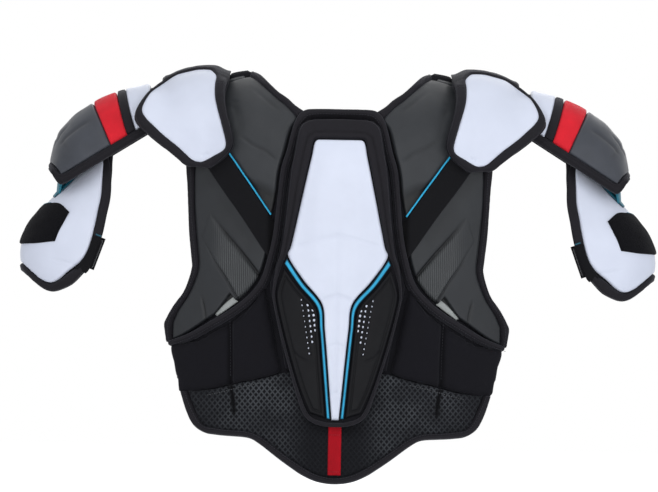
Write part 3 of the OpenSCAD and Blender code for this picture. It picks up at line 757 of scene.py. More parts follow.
def hook_look():
    base = (0.0042, 0.0042, 0.0055)
    L = Look("hook_patch", base, 0.95, spec=0.08)
    loops = L.voronoi(1.3, random=0.9)
    fuzz = L.noise(1.6, 4, 0.8)
    c = L.blend(loops, tint(base, 1.8), tint(base, 0.5))
    c = L.blend(L.span(fuzz, 0.55, 0.8), c, (0.018, 0.018, 0.022))
    L.color(c)
    L.rough(L.span(fuzz, 0.3, 0.7, 0.85, 1.0))
    L.bump((loops, 0.5), (fuzz, 0.25))
    L.b.inputs["Sheen Weight"].default_value = 0.04
    return L.m


hook = hook_look()


def shell_look():
    """The grey back shells: plain skin, with fine upright ribs on the slanting bar."""
    L = moulded("rib_shell", (0.0200, 0.0222, 0.0254), 0.50)
    mask = L.attr("rib")
    rib, rows = L.ribs(2.2, 0), L.ribs(5.2, 2)
    # the rib crests are painted lighter than the foam between them: a painted highlight along the ribs, over their
    # bump
    L.color(L.blend(L.mul(mask, L.mul(rib, 0.9)), L.under("Base Color"), (0.085, 0.090, 0.092)))
    L.bump((L.mul(mask, L.math("ADD", rib, L.mul(rows, 0.2))), 0.55), over=L.under("Normal"))
    return L.m


rib_shell = shell_look()


def print_look():
    """Black fabric with a pale diamond net printed on it, fading to the sides and the middle."""
    cell_x, cell_z = 6.3, 7.4
    L = cloth("net_print", (0.0060, 0.0062, 0.0080), 1.5)
    x, _, z = L.xyz(L.obj)[:3]
    ax = L.math("ABSOLUTE", x)
    drift = L.mul(L.noise(30, 2), 2.0)
    aside = L.mul(ax, 1.0 / cell_x)
    rise = L.mul(L.math("ADD", z, drift), 1.0 / cell_z)
    lines = []
    for op in ("ADD", "SUBTRACT"):
        wave = L.math("COSINE", L.mul(L.math(op, aside, rise), math.pi))
        lines.append(L.span(L.math("ABSOLUTE", wave), 0.72, 0.98, soft=True))
    net = L.math("MAXIMUM", *lines)
    sides = L.mul(L.span(ax, 24, 64, 0.12, 1, soft=True), L.span(ax, 112, 158, 1, 0.3, soft=True))
    low = L.span(z, -452, -352, 0.55, 1.0)
    worn = L.span(L.noise(4, 3, 0.7), 0.25, 0.5, 0.45, 1.0)
    patchy = L.span(L.noise(34, 2), 0.35, 0.62, 0.45, 1.0)
    k = L.mul(L.mul(net, sides), L.mul(low, L.mul(worn, patchy)))
    # the print gives way where the surface is dented, so the painted shade there shows through
    k = L.mul(k, L.span(L.attr("dent"), 0.35, 0.9, 1.0, 0.0))
    L.color(L.blend(L.mul(k, 0.85), L.under("Base Color"), (0.058, 0.064, 0.071)))
    L.rough(L.span(k, 0, 1, 0.9, 0.5))
    L.bump((net, 0.5), over=L.under("Normal"))
    return L.m


net_print = print_look()


def background_rays(nt):
    """1 for the camera's rays and for their reflections and refractions, else 0."""
    path = nt.nodes.new("ShaderNodeLightPath")
    last = path.outputs["Is Camera Ray"]
    for kind in ("Is Glossy Ray", "Is Transmission Ray"):
        n = nt.nodes.new("ShaderNodeMath")
        n.operation = "MAXIMUM"
        nt.links.new(last, n.inputs[0])
        nt.links.new(path.outputs[kind], n.inputs[1])
        last = n.outputs[0]
    return last


def shader(nt, kind, color, strength=None):
    n = nt.nodes.new(kind)
    n.inputs[0].default_value = (*color, 1)
    if strength is not None:
        n.inputs[1].default_value = strength
    return n.outputs[0]


def by_ray(nt, lighting, background, output):
    """One shader for the light on the object, another for background rays."""
    mix, out = nt.nodes.new("ShaderNodeMixShader"), nt.nodes.new(output)
    for value, socket in zip((background_rays(nt), lighting, background), mix.inputs):
        nt.links.new(value, socket)
    nt.links.new(mix.outputs[0], out.inputs[0])


def floor_look():
    """White to the camera, yet it keeps the object's shadow."""
    m = bpy.data.materials.new("studio_white")
    m.use_nodes = True
    nt = m.node_tree
    nt.nodes.clear()
    both = nt.nodes.new("ShaderNodeAddShader")
    nt.links.new(shader(nt, "ShaderNodeBsdfDiffuse", (0.60, 0.60, 0.60)), both.inputs[0])
    nt.links.new(shader(nt, "ShaderNodeEmission", (0.72, 0.72, 0.72)), both.inputs[1])
    by_ray(nt, shader(nt, "ShaderNodeBsdfDiffuse", (0.85, 0.85, 0.86)), both.outputs[0],
           "ShaderNodeOutputMaterial")
    return m


# ---------------------------------------------------------------- outlines, in millimetres
liner_edge = [[34, -38], [110, -62], [158, -96], [160, -150], [155, -205], [166, -250],
              [184, -292], [174, -340], [150, -385], [100, -394], [40, -432]]
binding_out = [[195, -296], [170, -286], [145, -271], [118, -254], [100, -238], [89, -222], [82, -200],
               [76, -172], [72, -135], [68, -97], [61, -72], [55, -47], [49, -34], [40, -28], [24, -27], [0, -27]]
binding_in = [[193.5, -303.5], [167, -294], [141, -279.5], [113, -262], [93, -244.5], [80, -227], [73, -203],
              [67, -174], [63, -136], [59, -98], [52, -74], [46, -50], [41, -42], [35, -37.5], [22, -36], [0, -36]]
column_edge = [[30, -37.5], [40, -46], [44.5, -56], [51, -78], [58, -102], [62, -138], [66, -176],
               [71.5, -205], [78, -229], [73.5, -253], [66.5, -284], [58.5, -327]]
kidney_top = [[81.5, -232], [94, -247], [114, -264.5], [141.5, -282], [167.5, -296.5], [191.5, -305.5]]
kidney_low = [[60, -325.5], [82, -334], [105, -339.5], [130, -346], [155, -351], [177, -353.5]]
hem_out = [[178, -357], [171, -375], [163, -392], [153, -401], [140, -403.5], [118, -405], [99, -407],
           [88, -413], [77, -421], [65, -430], [52, -439], [37, -448.5], [20, -455.5], [0, -458]]
hem_in = [[170.5, -357], [163.5, -372], [156, -386], [149, -393], [138, -395], [118, -397], [97, -399],
          [83, -405], [72, -413], [60, -422], [47, -431], [33, -440], [18, -447], [0, -450]]
tail_top = [[172, -352], [160, -353], [140, -350.5], [118, -345], [97, -340.5], [83, -337], [72, -334],
            [60, -330.5], [47, -331], [33, -331], [18, -331], [0, -331]]
tail_low = [[155, -385.5], [148, -392], [138, -394], [118, -396], [97, -398], [82.5, -404], [71.5, -412],
            [59.5, -421], [46.5, -430], [32.7, -439], [17.8, -446], [0, -449]]
upper_in = [[79.5, -155], [74.5, -133], [70.5, -99], [63.5, -73], [57, -48], [49.5, -37],
            [57.5, -26], [71, -15], [83.5, -5], [95, 5], [106, 11.5]]
upper_out = [[81, -158], [100, -129.5], [121, -98.5], [141, -71], [158, -61], [169, -48], [170, -36],
             [170, -26], [169.5, -17], [168, -10], [165, -6]]
lower_in = [[81, -161], [80, -175], [84.5, -199], [91.5, -220.5], [102, -235.5], [113, -245.5], [125, -254],
            [140, -263.5], [155, -273.5], [168, -282.5], [180, -290], [191, -295]]
lower_out = [[83, -159], [101.5, -131.5], [122.5, -101], [143, -73], [160, -65], [167.9, -100], [166.9, -145],
             [163, -185], [161.4, -212], [170.6, -239], [184.4, -261.5], [190.9, -276]]
strap_up = [[141, -62], [127, -82], [112, -103], [95, -127], [79, -150], [69, -164]]
strap_low = [[159, -84], [147, -103], [130, -127], [111, -153], [94, -178], [79.5, -199]]
arm_hole_out = [[176, -24], [178, -45], [178, -70], [177, -100], [175.5, -117], [174, -145], [172.5, -172],
                [169.5, -200], [169, -213], [176.5, -237], [188, -254], [197, -270], [199.5, -277], [198, -289]]
arm_hole_in = [[171.5, -24], [171.5, -45], [171, -68], [168.5, -100], [168, -117], [167.5, -145], [165, -172],
               [162.5, -198], [162, -213], [170, -237], [179.5, -253], [188, -266], [191.5, -276], [192, -288]]
shield_edge = [[36, -42], [45, -48], [49, -62], [55, -98], [60, -150], [65, -190], [71, -214], [73, -244],
               [66, -280], [56, -317], [45, -355], [36, -377], [21, -390]]
plate_edge = [[24, -64], [28.5, -68], [32, -85], [41, -128], [52, -182], [55.5, -197], [38, -224],
              [17, -250.5], [13.4, -280], [9.6, -320], [6.2, -360], [4, -384]]
piping_in = [[57, -199], [38.8, -226.5], [18.4, -251.5], [14.8, -280], [11, -320], [7.6, -360], [5.4, -383]]
piping_out = [[60, -205], [42.8, -230], [22.6, -254.5], [19, -280], [15.3, -320], [11.8, -360], [9.8, -383]]
wing_in = [[60.5, -209], [43.8, -232], [23.9, -256], [20.2, -280], [16.5, -320], [13, -360], [11, -382]]
wing_out = [[61, -213], [67, -232], [68, -246], [61, -278], [51, -315], [40, -350], [29, -376]]
perf_rows = [[(40.6, -246.5), (30.6, -308), 11, 1.1], [(33.2, -252.5), (27.4, -294.4), 8, 1.4],
             [(26.9, -258), (23.6, -281), 5, 1.55]]
rim_in = [[0, -62.5], [12, -62.5], [25, -62.5], [30, -67], [33.5, -84], [42.5, -128], [53.5, -182],
          [58.5, -196], [64, -210], [69, -230], [69.5, -247], [62.5, -279], [52.5, -316], [41.5, -351],
          [30, -378], [14, -386], [0, -387]]
rim_out = [[0, -43], [18, -43.5], [33, -44.5], [43, -50], [47.5, -64], [53.5, -98], [58.5, -150],
           [63.5, -190], [69, -208], [72, -228], [72.2, -246], [65, -281], [55, -318], [44, -355],
           [35, -379], [20, -389.5], [0, -392]]
neck_out_b = [[40.5, -30], [51, -23.5], [61, -15], [72.5, -7.5], [83.5, 2], [92, 9.5]]
neck_in_b = [[49, -38], [57.5, -30], [65, -22], [75.5, -14], [87, -3.5], [98, 5.5]]
neck_out_f = [[91, 5], [83, -6], [71, -22], [55, -42], [35, -60], [16, -70], [0.3, -73]]
neck_in_f = [[98, 1], [89, -11], [76, -28], [59, -49], [38, -67], [17, -77.5], [0.3, -80.5]]
collar_in = [[98.9, 0.6], [89.9, -11.7], [76.9, -28.8], [59.9, -49.8], [40.4, -67.4]]
collar_out = [[113, -7], [102, -22], [88, -40], [70, -60], [48, -77]]
chest_in = [[123, 6.5], [118, -10], [106, -25.5], [89.5, -42], [71.5, -62], [49.5, -79.5], [35, -100],
            [34.5, -140], [34.5, -185], [35.5, -218]]
chest_out = [[163.5, -6], [167, -15], [169, -32], [168, -52], [165, -75], [161, -97], [157, -120],
             [155, -150], [158, -185], [166, -224]]
sternum_edge = [[21, -84], [31, -94], [33.5, -120], [33.5, -155], [33, -190], [25, -216]]
chest_liner_edge = [[28, -83], [80, -90], [130, -100], [156, -112], [150, -140], [150, -185], [155, -228]]
belly_edge = [[70, -229], [96, -236], [112, -262], [112, -300], [96, -330], [60, -342]]
cap_in = [[148, -97], [133, -86], [122.5, -72], [123, -55], [129, -34], [132.5, -12], [132, 2], [129, 12]]
cap_out = [[174, -96], [196, -78.5], [221, -58], [234, -44], [236.5, -31], [225, -10], [213, 1.5], [206, 6]]
ring_in_a = [[158, -90], [142, -82], [128.2, -72], [132.2, -52], [139.2, -29], [143.5, -12],
             [144.5, 2], [144.2, 12], [150, 18.5]]
ring_in_b = [[165, -89.5], [180, -76.5], [196, -63.5], [212, -50], [225, -37.5], [228.5, -27],
             [219, -8.8], [205.5, 2.8], [189, 12], [171, 17.6]]
edge_out = [[10, -12], [30, -12], [55, -12], [80, -12], [105, -12], [128, -12], [138, -8], [139.5, 10],
            [137, 36], [135.5, 60]]
edge_in = [[10, -1], [30, -1], [55, -1], [80, -1], [105, -1], [121, -1.5], [128, 2.5], [129.5, 13],
           [127, 36], [125.5, 60]]
guard_edge = [[-25, 33], [-14, 18], [0, 5], [24, -4.5], [48, -8.5], [72, -12], [96, -12], [116, -8.5],
              [133, -1], [146, 8], [151, 20], [151, 38]]
guard_plate_edge = [[-18, 44], [-8, 25], [4, 15], [27, 5], [48, 1.4], [68, -1.4], [85, -3.4], [98, -3],
                    [110, 0.5], [122, 5], [134, 10], [141, 17], [142.5, 30]]
guard_rim_in = [[110, -2], [122, 3.5], [134, 9.5], [142, 18], [143, 36], [143, 60]]
guard_rim_out = [[116, -9], [132, -2], [145, 7], [151.3, 18], [151.5, 38], [151.5, 60]]
guard_web_out = [[-18, 29], [-4, 8.5], [24, -4.8], [48, -9], [76, -12.3]]
guard_web_in = [[-18, 44], [-4, 21.5], [24, 6], [48, 1.2], [76, -2.4]]


def seen(P):
    return np.stack([np.abs(P[..., 0]), P[..., 2]], -1)


def uneven(amount, size, seed=0.0, seam=None):
    """A dent for panel: unevenness, and a seam of (depth, distance from the border, width)."""
    def dent(P, G, D):
        d = amount * wobble(P, size, seed)
        return d + seam[0] * bell(D - seam[1], seam[2]) if seam else d
    return dent


def groove(P, line, w, d, fade=0.0):
    """A pressed line: full in its middle, fading at its ends when fade is set."""
    r, k = to_line(seen(P), line)
    g = d * bell(r, w)
    if fade:
        g = g * smooth(k / fade) * smooth((1 - k) / fade)
    return g


def halfway(a, b, k):
    return [[p[0] + (q[0] - p[0]) * k, p[1] + (q[1] - p[1]) * k] for p, q in zip(a, b)]


# ---------------------------------------------------------------- back of the vest
e = on_back(liner_edge)
piece("back_mesh_lining", panel(torso, e, flip(e), 0, LINER, 4, 2), lining, "vest", ("back_liner",))


def seam_dent(a, b, k):
    line = on_back(halfway(a, b, k))

    def dent(P, G, D):
        r, _ = to_line(np.stack([np.abs(G[..., 0]), G[..., 1]], -1), line)
        return 0.8 * bell(r, 0.9) + 0.18 * wobble(P, 3.2)
    return dent


def bound(name, a, b, hi, nodes, seam, pair=False):
    """A sewn border of the back: a domed roll with a stitched seam along it."""
    la, lb = (a, b) if pair else (both_ways(a), both_ways(b))
    A, B = on_back(la), on_back(lb)
    w = np.linalg.norm(A - B, axis=1).mean()
    s = panel(torso, A, B, SHELL_OFF, hi, 1.5, w * 0.46, 0.25, cols=9, dent=seam_dent(a, b, seam))
    t = stitches(run_on(torso, on_back(halfway(la, lb, seam)), hi - 0.35))
    if pair:
        s, t = s.pair(), t.pair()
    piece(name, s, binding, "vest", nodes)
    piece(name + "_stitches", t, thread, "vest")


# what lies under a binding reaches a little way into it, and sewn ends meet
hem_out[:3] = [[180, -352.6], [173, -375], [164.6, -392]]
hem_in[0] = [171.6, -352.6]
arm_hole_out.append([196.5, -299])
arm_hole_in.append([190, -298])
tail_low = [[q[0] * 1.012, q[1] - 3.2] for q in tail_low]
kidney_low = [[q[0] + 0.6, q[1] - 5.5] for q in kidney_low[:-1]] + [[182.5, -359]]
kidney_top = [[q[0] - 1.0, q[1] + 3.0] for q in kidney_top[:-1]] + [[197.5, -300.5]]

bound("back_piping", binding_in, binding_out, SHELL_OFF + BIND, ("back_binding",), 0.16)
bound("hem_piping", hem_out, hem_in, SHELL_OFF + BIND, ("hem_binding",), 0.80)

e = on_back(column_edge)
piece("column_padding", panel(torso, e, flip(e), SHELL_OFF, SHELL_OFF + PAD, 3, 4, 0.5), fabric, "vest",
      ("column_pad",))


def kidney():
    s = panel(torso, on_back(kidney_low), on_back(kidney_top), SHELL_OFF + 0.6, SHELL_OFF + PAD - 1.5, 2.2, 5,
              0.25, crown=0.8)
    obj = piece("kidney_padding", s.pair(), fabric, "vest", ("kidney_pads",))
    puffed(obj, cap=3.0, voxel=4.5)
    line = [[124, -262], [122.5, -300], [121.5, -352]]

    def pinch(p):
        r, _ = to_line(seen(p), line)
        d = 6.0 * bell(r, 3.0) + 1.4 * bell(r, 9)
        at = np.stack([p[:, 0], down(p[:, 2])], -1)
        n = normal(torso, at)
        out = ((p * n).sum(1) > 0) & (p[:, 1] < -20)
        fold = 0.5 * wobble(p, 16, 0.7) + 0.25 * wobble(p, 6, 1.9)
        back = p[:, 1] < off(torso, at, SHELL_OFF + 4)[:, 1]
        return -n * np.where(back & out, d - fold, 0)[:, None]
    reshape(obj, pinch)
    # painted shade: the dent value marks the channel, where the fabric is painted darker
    give(obj.data, "dent", 0.9 * bell(to_line(seen(points(obj.data) / MM), line)[0], 2.4))
    pts = off(torso, on_back(spline(line, 12)[4:-4]), SHELL_OFF + PAD - 4.2)
    t = stitches(pts, 3.4, 2.4, 0.3)
    piece("kidney_channel_stitches", t.pair(), thread, "vest")


kidney()


def tail_dent(P, G, D):
    # The channel and the shield's press are dents, and through their dent depth they are also painted darker: painted
    # shade.
    r, k = to_line(seen(P), [[121.5, -346], [118, -366], [116, -392]])
    d = (3.6 * bell(r, 2.0) + 0.9 * bell(r, 9)) * smooth((1 - k) / 0.5)
    d -= 0.45 * wobble(P, 22, 1.1)
    # the shield presses in from above
    d += 1.5 * bell(np.abs(P[..., 2] + 393), 8) * np.exp(-(P[..., 0] / 26) ** 4)
    return d


piece("tail_padding", panel(torso, on_back(both_ways(tail_low)), on_back(both_ways(tail_top)), SHELL_OFF,
                            SHELL_OFF + PAD - 0.4, 2.0, 5, 0.45, crown=1.2, dent=tail_dent),
      net_print, "vest", ("tail_pad",))
# the print's sewn top edge
piece("print_seam_stitches", stitches(run_on(torso, on_back([[84, -342.5], [106, -347.5], [118, -350.5], [130, -354],
      [150, -358.5]]), SHELL_OFF + PAD + 0.2), 3.0, 2.0, 0.36).pair(), thread_pale, "vest")

e = on_back([[7.5, -390], [7.5, -410], [7.5, -424], [7.5, -438], [7.5, -447.5]])
tab_top = SHIELD_OFF + 1.2


def tab_dent(P, G, D):
    z = P[..., 2]
    return 0.6 * (bell(z + 401, 0.8) + bell(z + 443.5, 0.8)) + 0.12 * wobble(P, 5)


piece("red_tab_webbing", panel(torso, e, flip(e), SHIELD_OFF - 0.9, tab_top, 1.2, 0.8, 0.5, dent=tab_dent),
      tab_red, "vest", ("red_tab",))
rows = Shape(np.zeros((0, 3)), [])
for z in (-401, -443.5):
    rows += stitches(off(torso, on_back([[x, z] for x in np.linspace(-6.8, 6.8, 9)]), tab_top - 0.2), 2.2, 1.6, 0.28)
piece("red_tab_stitches", rows, thread_red, "vest")


# ---------------------------------------------------------------- grey back shells
def upper_dent(P, G, D):
    d = groove(P, [[116, -58], [100, -69], [86, -75.5], [70, -88]], 1.3, 1.5, 0.22)
    d += groove(P, [[138, -62], [121, -86], [104, -112], [90, -134]], 2.5, 1.0, 0.3)
    d += groove(P, [[124, -10], [119, -34], [113, -60]], 1.6, 1.1, 0.35)
    d += groove(P, [[104, -2], [84, -18], [66, -32]], 1.8, 0.8, 0.3)
    d -= 1.0 * bell(to_line(seen(P), [[106, -20], [92, -48], [80, -64]])[0], 13)
    d += 0.35 * wobble(P, 19, 0.4)
    s = seen(P)
    # The shell's lower tip is pressed in and, through its dent depth, painted near-black: painted shade where the
    # strap passes beneath.
    shaded_tip = [[117, -98], [102, -104], [84, -110], [68, -118], [70, -150], [80, -160]]
    d += np.where(inside(s, shaded_tip), 2.9 * smooth(to_line(s, shaded_tip[:4])[0] / 15), 0)
    return d


piece("upper_shell_foam", panel(torso, on_back(upper_out), on_back(upper_in), SHELL_OFF, TOP_OFF - 0.2, 1.8, 3.5,
                                0.45, dent=upper_dent).pair(),
      grey, "vest", ("upper_shells",))

RIB_UP = [[148, -150], [131, -171], [113.5, -191], [101, -206], [90.7, -219]]
RIB_LOW = [[156.3, -176], [141, -205], [129, -222], [120.5, -236.5], [111, -252.5]]
VENT = [[124, -239], [151.5, -277.5], [141.5, -268.5], [114.5, -250]]
RIB_AREA = RIB_UP + RIB_LOW[::-1]


def lower_dent(P, G, D):
    s = seen(P)
    # The creases are cut deep, and their dent depth paints them dark: painted shade in the creases.
    d = groove(P, RIB_UP, 1.9, 4.2, 0.0) * smooth((155 - s[..., 0]) / 38)
    d += groove(P, RIB_LOW, 1.4, 2.2) * smooth((160 - s[..., 0]) / 30)
    d += groove(P, [[156.5, -243], [152.5, -262], [150, -281]], 1.3, 2.0) * smooth((-240 - s[..., 1]) / 14)
    # the bar from low outside to the window stands a little proud of its surroundings
    band = inside(s, RIB_AREA)
    d += np.where(band, -0.5 * smooth(D / 4), 0)
    d += 0.9 * bell(to_line(s, [[150, -108], [128, -142], [104, -176]])[0], 8)
    # the window sinks below the mesh and its dent depth paints it dark: painted shade in the opening
    hole = inside(s, VENT)
    near = to_line(s, VENT + VENT[:1])[0]
    d += np.where(hole, 5.6 * smooth(near / 1.6), 0)
    d += 0.3 * wobble(P, 17, 2.2)
    return d


def lower_shell(side):
    s = panel(torso, on_back(lower_out), on_back(lower_in), SHELL_OFF, TOP_OFF - 0.2, 1.5, 3.0, 0.45,
              dent=lower_dent)
    obj = piece(side + "_lower_shell_foam", s, rib_shell, "vest", (side + "_lower_shell",),
                mirror=side == "left")
    q = seen(s.v)
    r = np.minimum(to_line(q, RIB_UP)[0], to_line(q, RIB_LOW)[0])
    rib = inside(q, RIB_AREA) * smooth(r / 2.0) * smooth((150 - q[:, 0]) / 26)
    give(obj.data, "rib", rib)


lower_shell("left")
lower_shell("right")
piece("vent_mesh", panel(torso, on_back([[115.8, -249.6], [128, -258.5], [140.3, -267]]),
                         on_back([[121.5, -244.2], [132, -253], [143, -265]]), SHELL_OFF + 1.2, SHELL_OFF + 3.0,
                         1.0, 0.8, 0.5).pair(), silver, "vest", ("vent_inserts",))


def strap_dent(P, G, D):
    down = 5.0 * smooth((83 - np.abs(P[..., 0])) / 7)
    return down + 0.10 * wobble(P, 9, 0.3) + 0.35 * bell(D - 1.6, 0.5)


piece("diagonal_webbing", panel(torso, on_back(strap_low), on_back(strap_up), STRAP_OFF - 4, STRAP_OFF + STRAP,
                                1.6, 1.0, 0.85, dent=strap_dent).pair(), elastic, "vest", ("diagonal_straps",))
pipe_line = [[x - 1.6 * 0.83, z + 1.6 * 0.56] for x, z in strap_up[:5]]
piece("webbing_piping", tube(run_on(torso, on_back(pipe_line), STRAP_OFF + 1.2), 1.0, 8).pair(), blue,
      "vest", ("strap_piping",))
bound("armhole_piping", arm_hole_out, arm_hole_in, SHELL_OFF + BIND - 1, ("armhole_bindings",), 0.78, pair=True)

# ---------------------------------------------------------------- spine guard
e = on_back(shield_edge)
piece("spine_shield_pad", panel(torso, e, flip(e), SHIELD_OFF, SHIELD_OFF + SHIELD, 3, 3, 0.35), foam_black, "vest",
      ("spine_pad",))


def plate_dent(P, G, D):
    s = seen(P)
    d = groove(P, [[0, -171], [24, -177], [46, -183]], 1.6, 0.7)
    d += groove(P, [[0, -240], [12, -243.5], [26, -251]], 1.5, 0.7)
    d += groove(P, [[0, -296], [9, -299], [18, -303]], 1.4, 0.7)
    d += groove(P, [[0, -352], [8, -354], [14, -357]], 1.4, 0.6)
    d += 0.5 * bell(s[..., 0], 2.4) * smooth((-150 - s[..., 1]) / 30)
    d -= 0.9 * bell(to_line(s, [[16, -80], [26, -150], [20, -215]])[0], 10)
    return d


e = on_back(plate_edge)
piece("spine_white_plate", panel(torso, e, flip(e), PLATE_OFF, PLATE_OFF + PLATE, 1.6, 2.2, 0.4, dent=plate_dent),
      white, "vest", ("spine_plate",))


perf_holes = [(np.array(a) + (np.array(b) - np.array(a)) * i / (n - 1), r)
              for a, b, n, r in perf_rows for i in range(n)]


def wing_dent(P, G, D):
    d = 0.9 * bell(D - 5.2, 0.9)
    d -= 0.5 * bell(D - 2.6, 1.3)
    d += groove(P, [[30, -318], [44, -312], [54, -300]], 1.4, 0.5, 0.3)
    for c, r in perf_holes:
        q = np.linalg.norm(seen(P) - c, axis=-1)
        d += 0.9 * smooth((r + 0.9 - q) / 0.8)
    return d


piece("wing_plastic_skin", panel(torso, on_back(wing_out), on_back(wing_in), PLATE_OFF, PLATE_OFF + WING + 0.4, 0.9,
                                 2.0, 0.5, dent=wing_dent).pair(), wing_look, "vest", ("spine_wings",))
dots = Shape(np.zeros((0, 3)), [])
for c, r in perf_holes:
    edge = [c + r * np.array([math.cos(t), math.sin(t)]) for t in np.arange(10) * math.pi / 5]
    v = off(torso, on_back([c] + edge), PLATE_OFF + WING - 0.25)
    v2 = off(torso, on_back([c] + edge), PLATE_OFF + WING - 1.2)
    f = [(0, 1 + k, 1 + (k + 1) % 10) for k in range(10)]
    g = [(11, 12 + (k + 1) % 10, 12 + k) for k in range(10)]
    w = [(1 + k, 12 + k, 12 + (k + 1) % 10, 1 + (k + 1) % 10) for k in range(10)]
    dots += Shape(np.concatenate([v, v2]), f + g + w)
piece("wing_white_dots", dots.pair(), white, "vest")


piece("blue_plate_piping", panel(torso, on_back(piping_out), on_back(piping_in), PLATE_OFF, PLATE_OFF + RIM + 0.3,
                                 1.2, 2.4, 0.35, cols=8).pair(), blue, "vest", ("spine_piping",))


def rim_dent(P, G, D):
    s = seen(P)
    w = smooth((s[..., 1] + 225) / 20)
    mid, _ = to_line(s, halfway(rim_out, rim_in, 0.46))
    d = (1.5 * bell(mid, 1.1)) * w
    d += 0.16 * wobble(P, 4.0)
    return d


s = panel(torso, on_back(ring(rim_out)), on_back(ring(rim_in)), PLATE_OFF, PLATE_OFF + RIM + 0.8, 1.4, 2.6, 0.3,
          loop=True, cols=14, dent=rim_dent)
piece("spine_piping_rim", s, binding, "vest", ("spine_rim",))
top_half = [q for q in halfway(rim_out, rim_in, 0.46) if q[1] > -215]
piece("spine_rim_stitches", stitches(run_on(torso, on_back(both_ways(top_half[::-1])), PLATE_OFF + RIM - 0.55)),
      thread, "vest")

# ---------------------------------------------------------------- shoulders and chest
lo2 = on_back([[114, -50], [158, -62]])
a = [[101.5, y] for y in np.linspace(lo2[0, 1], 2 * ARCH - lo2[0, 1], 11)]
b = [[158, y] for y in np.linspace(lo2[1, 1], 2 * ARCH - lo2[1, 1], 11)]
piece("shoulder_mesh_linings", panel(torso, b, a, 0, LINER, 4, 2).pair(), lining, "vest", ("shoulder_linings",))
yb = on_back([[108, 9.5], [164.5, -4.5]])
a = [[108, y] for y in np.linspace(yb[0, 1], 2 * ARCH - yb[0, 1], 5)]
b = [[164.5, y] for y in np.linspace(yb[1, 1] + 1, 2 * ARCH - yb[1, 1] - 1, 5)]
piece("shoulder_yoke_foam", panel(torso, b, a, SHELL_OFF, TOP_OFF, 3, 3, 0.4).pair(), grey, "vest",
      ("shoulder_yokes",))

na = np.concatenate([on_back(neck_in_b), [[105.5, ARCH]], on_front(neck_in_f)])
nb = np.concatenate([on_back(neck_out_b), [[98, ARCH]], on_front(neck_out_f)])


def neck_dent(P, G, D):
    r, _ = to_line(G, halfway(na, nb, 0.3))
    return 0.8 * bell(r, 0.9) + 0.15 * wobble(P, 4)


piece("neck_piping", panel(torso, na, nb, SHELL_OFF, SHELL_OFF + BIND - 1, 1.6, 3.6, 0.25, cols=9,
                           dent=neck_dent).pair(), binding, "vest", ("neck_bindings",))
ca = np.concatenate([[[127.5, ARCH - 8], [123, ARCH + 14]], on_front(collar_out)])
cb = np.concatenate([[[101, ARCH - 8], [103, ARCH + 14]], on_front(collar_in)])


def collar_dent(P, G, D):
    u = G[..., 1]
    d = 3.4 * bell((u - 138) % 13 - 6.5, 1.7) * smooth((u - 102) / 6) * smooth((212 - u) / 20)
    return d + 0.2 * wobble(P, 6)


piece("collar_ribbed_pad", panel(torso, ca, cb, SHELL_OFF, SHELL_OFF + BIND + 0.6, 1.6, 5, 0.25,
                                 dent=collar_dent).pair(), foam_black, "vest", ("collar_pads",))


def chest_dent(P, G, D):
    d = groove(P, [[60, -90], [96, -118], [150, -130]], 1.6, 1.6, 0.15)
    d += groove(P, [[44, -150], [90, -170], [150, -172]], 1.6, 1.4, 0.15)
    d += groove(P, [[110, -40], [128, -80], [134, -128]], 1.6, 1.2, 0.2)
    return d + 0.3 * wobble(P, 21, 0.9)


piece("chest_shell_foam", panel(torso, on_front(chest_out), on_front(chest_in), CHEST_OFF, CHEST_OFF + SHELL, 2.4,
                                4, 0.35, dent=chest_dent).pair(), grey, "vest", ("chest_shells",))
e = on_front(sternum_edge)
piece("sternum_white_plate", panel(torso, e, flip(e), CHEST_OFF, CHEST_OFF + PLATE + 2, 2, 3.5, 0.35, crown=0.8,
                                   dent=lambda P, G, D: groove(P, [[0, -128], [33, -134]], 1.5, 0.8)
                                   + groove(P, [[0, -172], [33, -178]], 1.5, 0.8)),
      white, "vest", ("sternum_plate",))
e = on_front(chest_liner_edge)
piece("chest_mesh_lining", panel(torso, e, flip(e), 0, LINER, 4, 2), lining, "vest", ("chest_liner",))


def belly():
    e = on_front(belly_edge)
    t = on_front([[26, -176], [28, -195], [28, -212], [28, -234]])
    s = panel(torso, e, flip(e), SHELL_OFF + 0.5, SHELL_OFF + PAD - 2, 3, 5, 0.3, crown=0.6)
    obj = piece("belly_padding", s, fabric, "belly_pad", ("belly_pad",))
    puffed(obj, cap=3.0, voxel=5.0)

    def quilt(p):
        d = np.zeros(len(p))
        for z in (-262, -291, -320):
            d += 3.2 * bell(p[:, 2] - z, 2.2)
        at = np.stack([p[:, 0], 2 * ARCH - down(p[:, 2])], -1)
        out = p[:, 1] > off(torso, at, SHELL_OFF + 4)[:, 1]
        return np.stack([np.zeros(len(p)), np.where(out, -d, 0), np.zeros(len(p))], -1)
    reshape(obj, quilt)
    piece("belly_tongue", panel(torso, t, flip(t), SHELL_OFF, SHELL_OFF + TONGUE, 2.5, 0.8, 0.5), elastic,
          "belly_pad")


belly()

# ---------------------------------------------------------------- the parts on each side
belt_path = [[179.5, -45.6], [181, -30], [181.5, -12], [181.5, 8], [180, 26], [175, 44], [166, 60.5]]
tab_path = [[165.5, 61.1], [150, 76.5], [134, 87.5], [118, 96], [104, 101.5], [90, 105]]


def plan_line(path, step):
    """A path in plan with points a step apart, its outward normals and the way along it."""
    (p, _), s = even([path, path], step)
    d = np.gradient(p, axis=0)
    d /= np.linalg.norm(d, axis=1, keepdims=True)
    return p, np.stack([d[:, 1], -d[:, 0]], -1), s


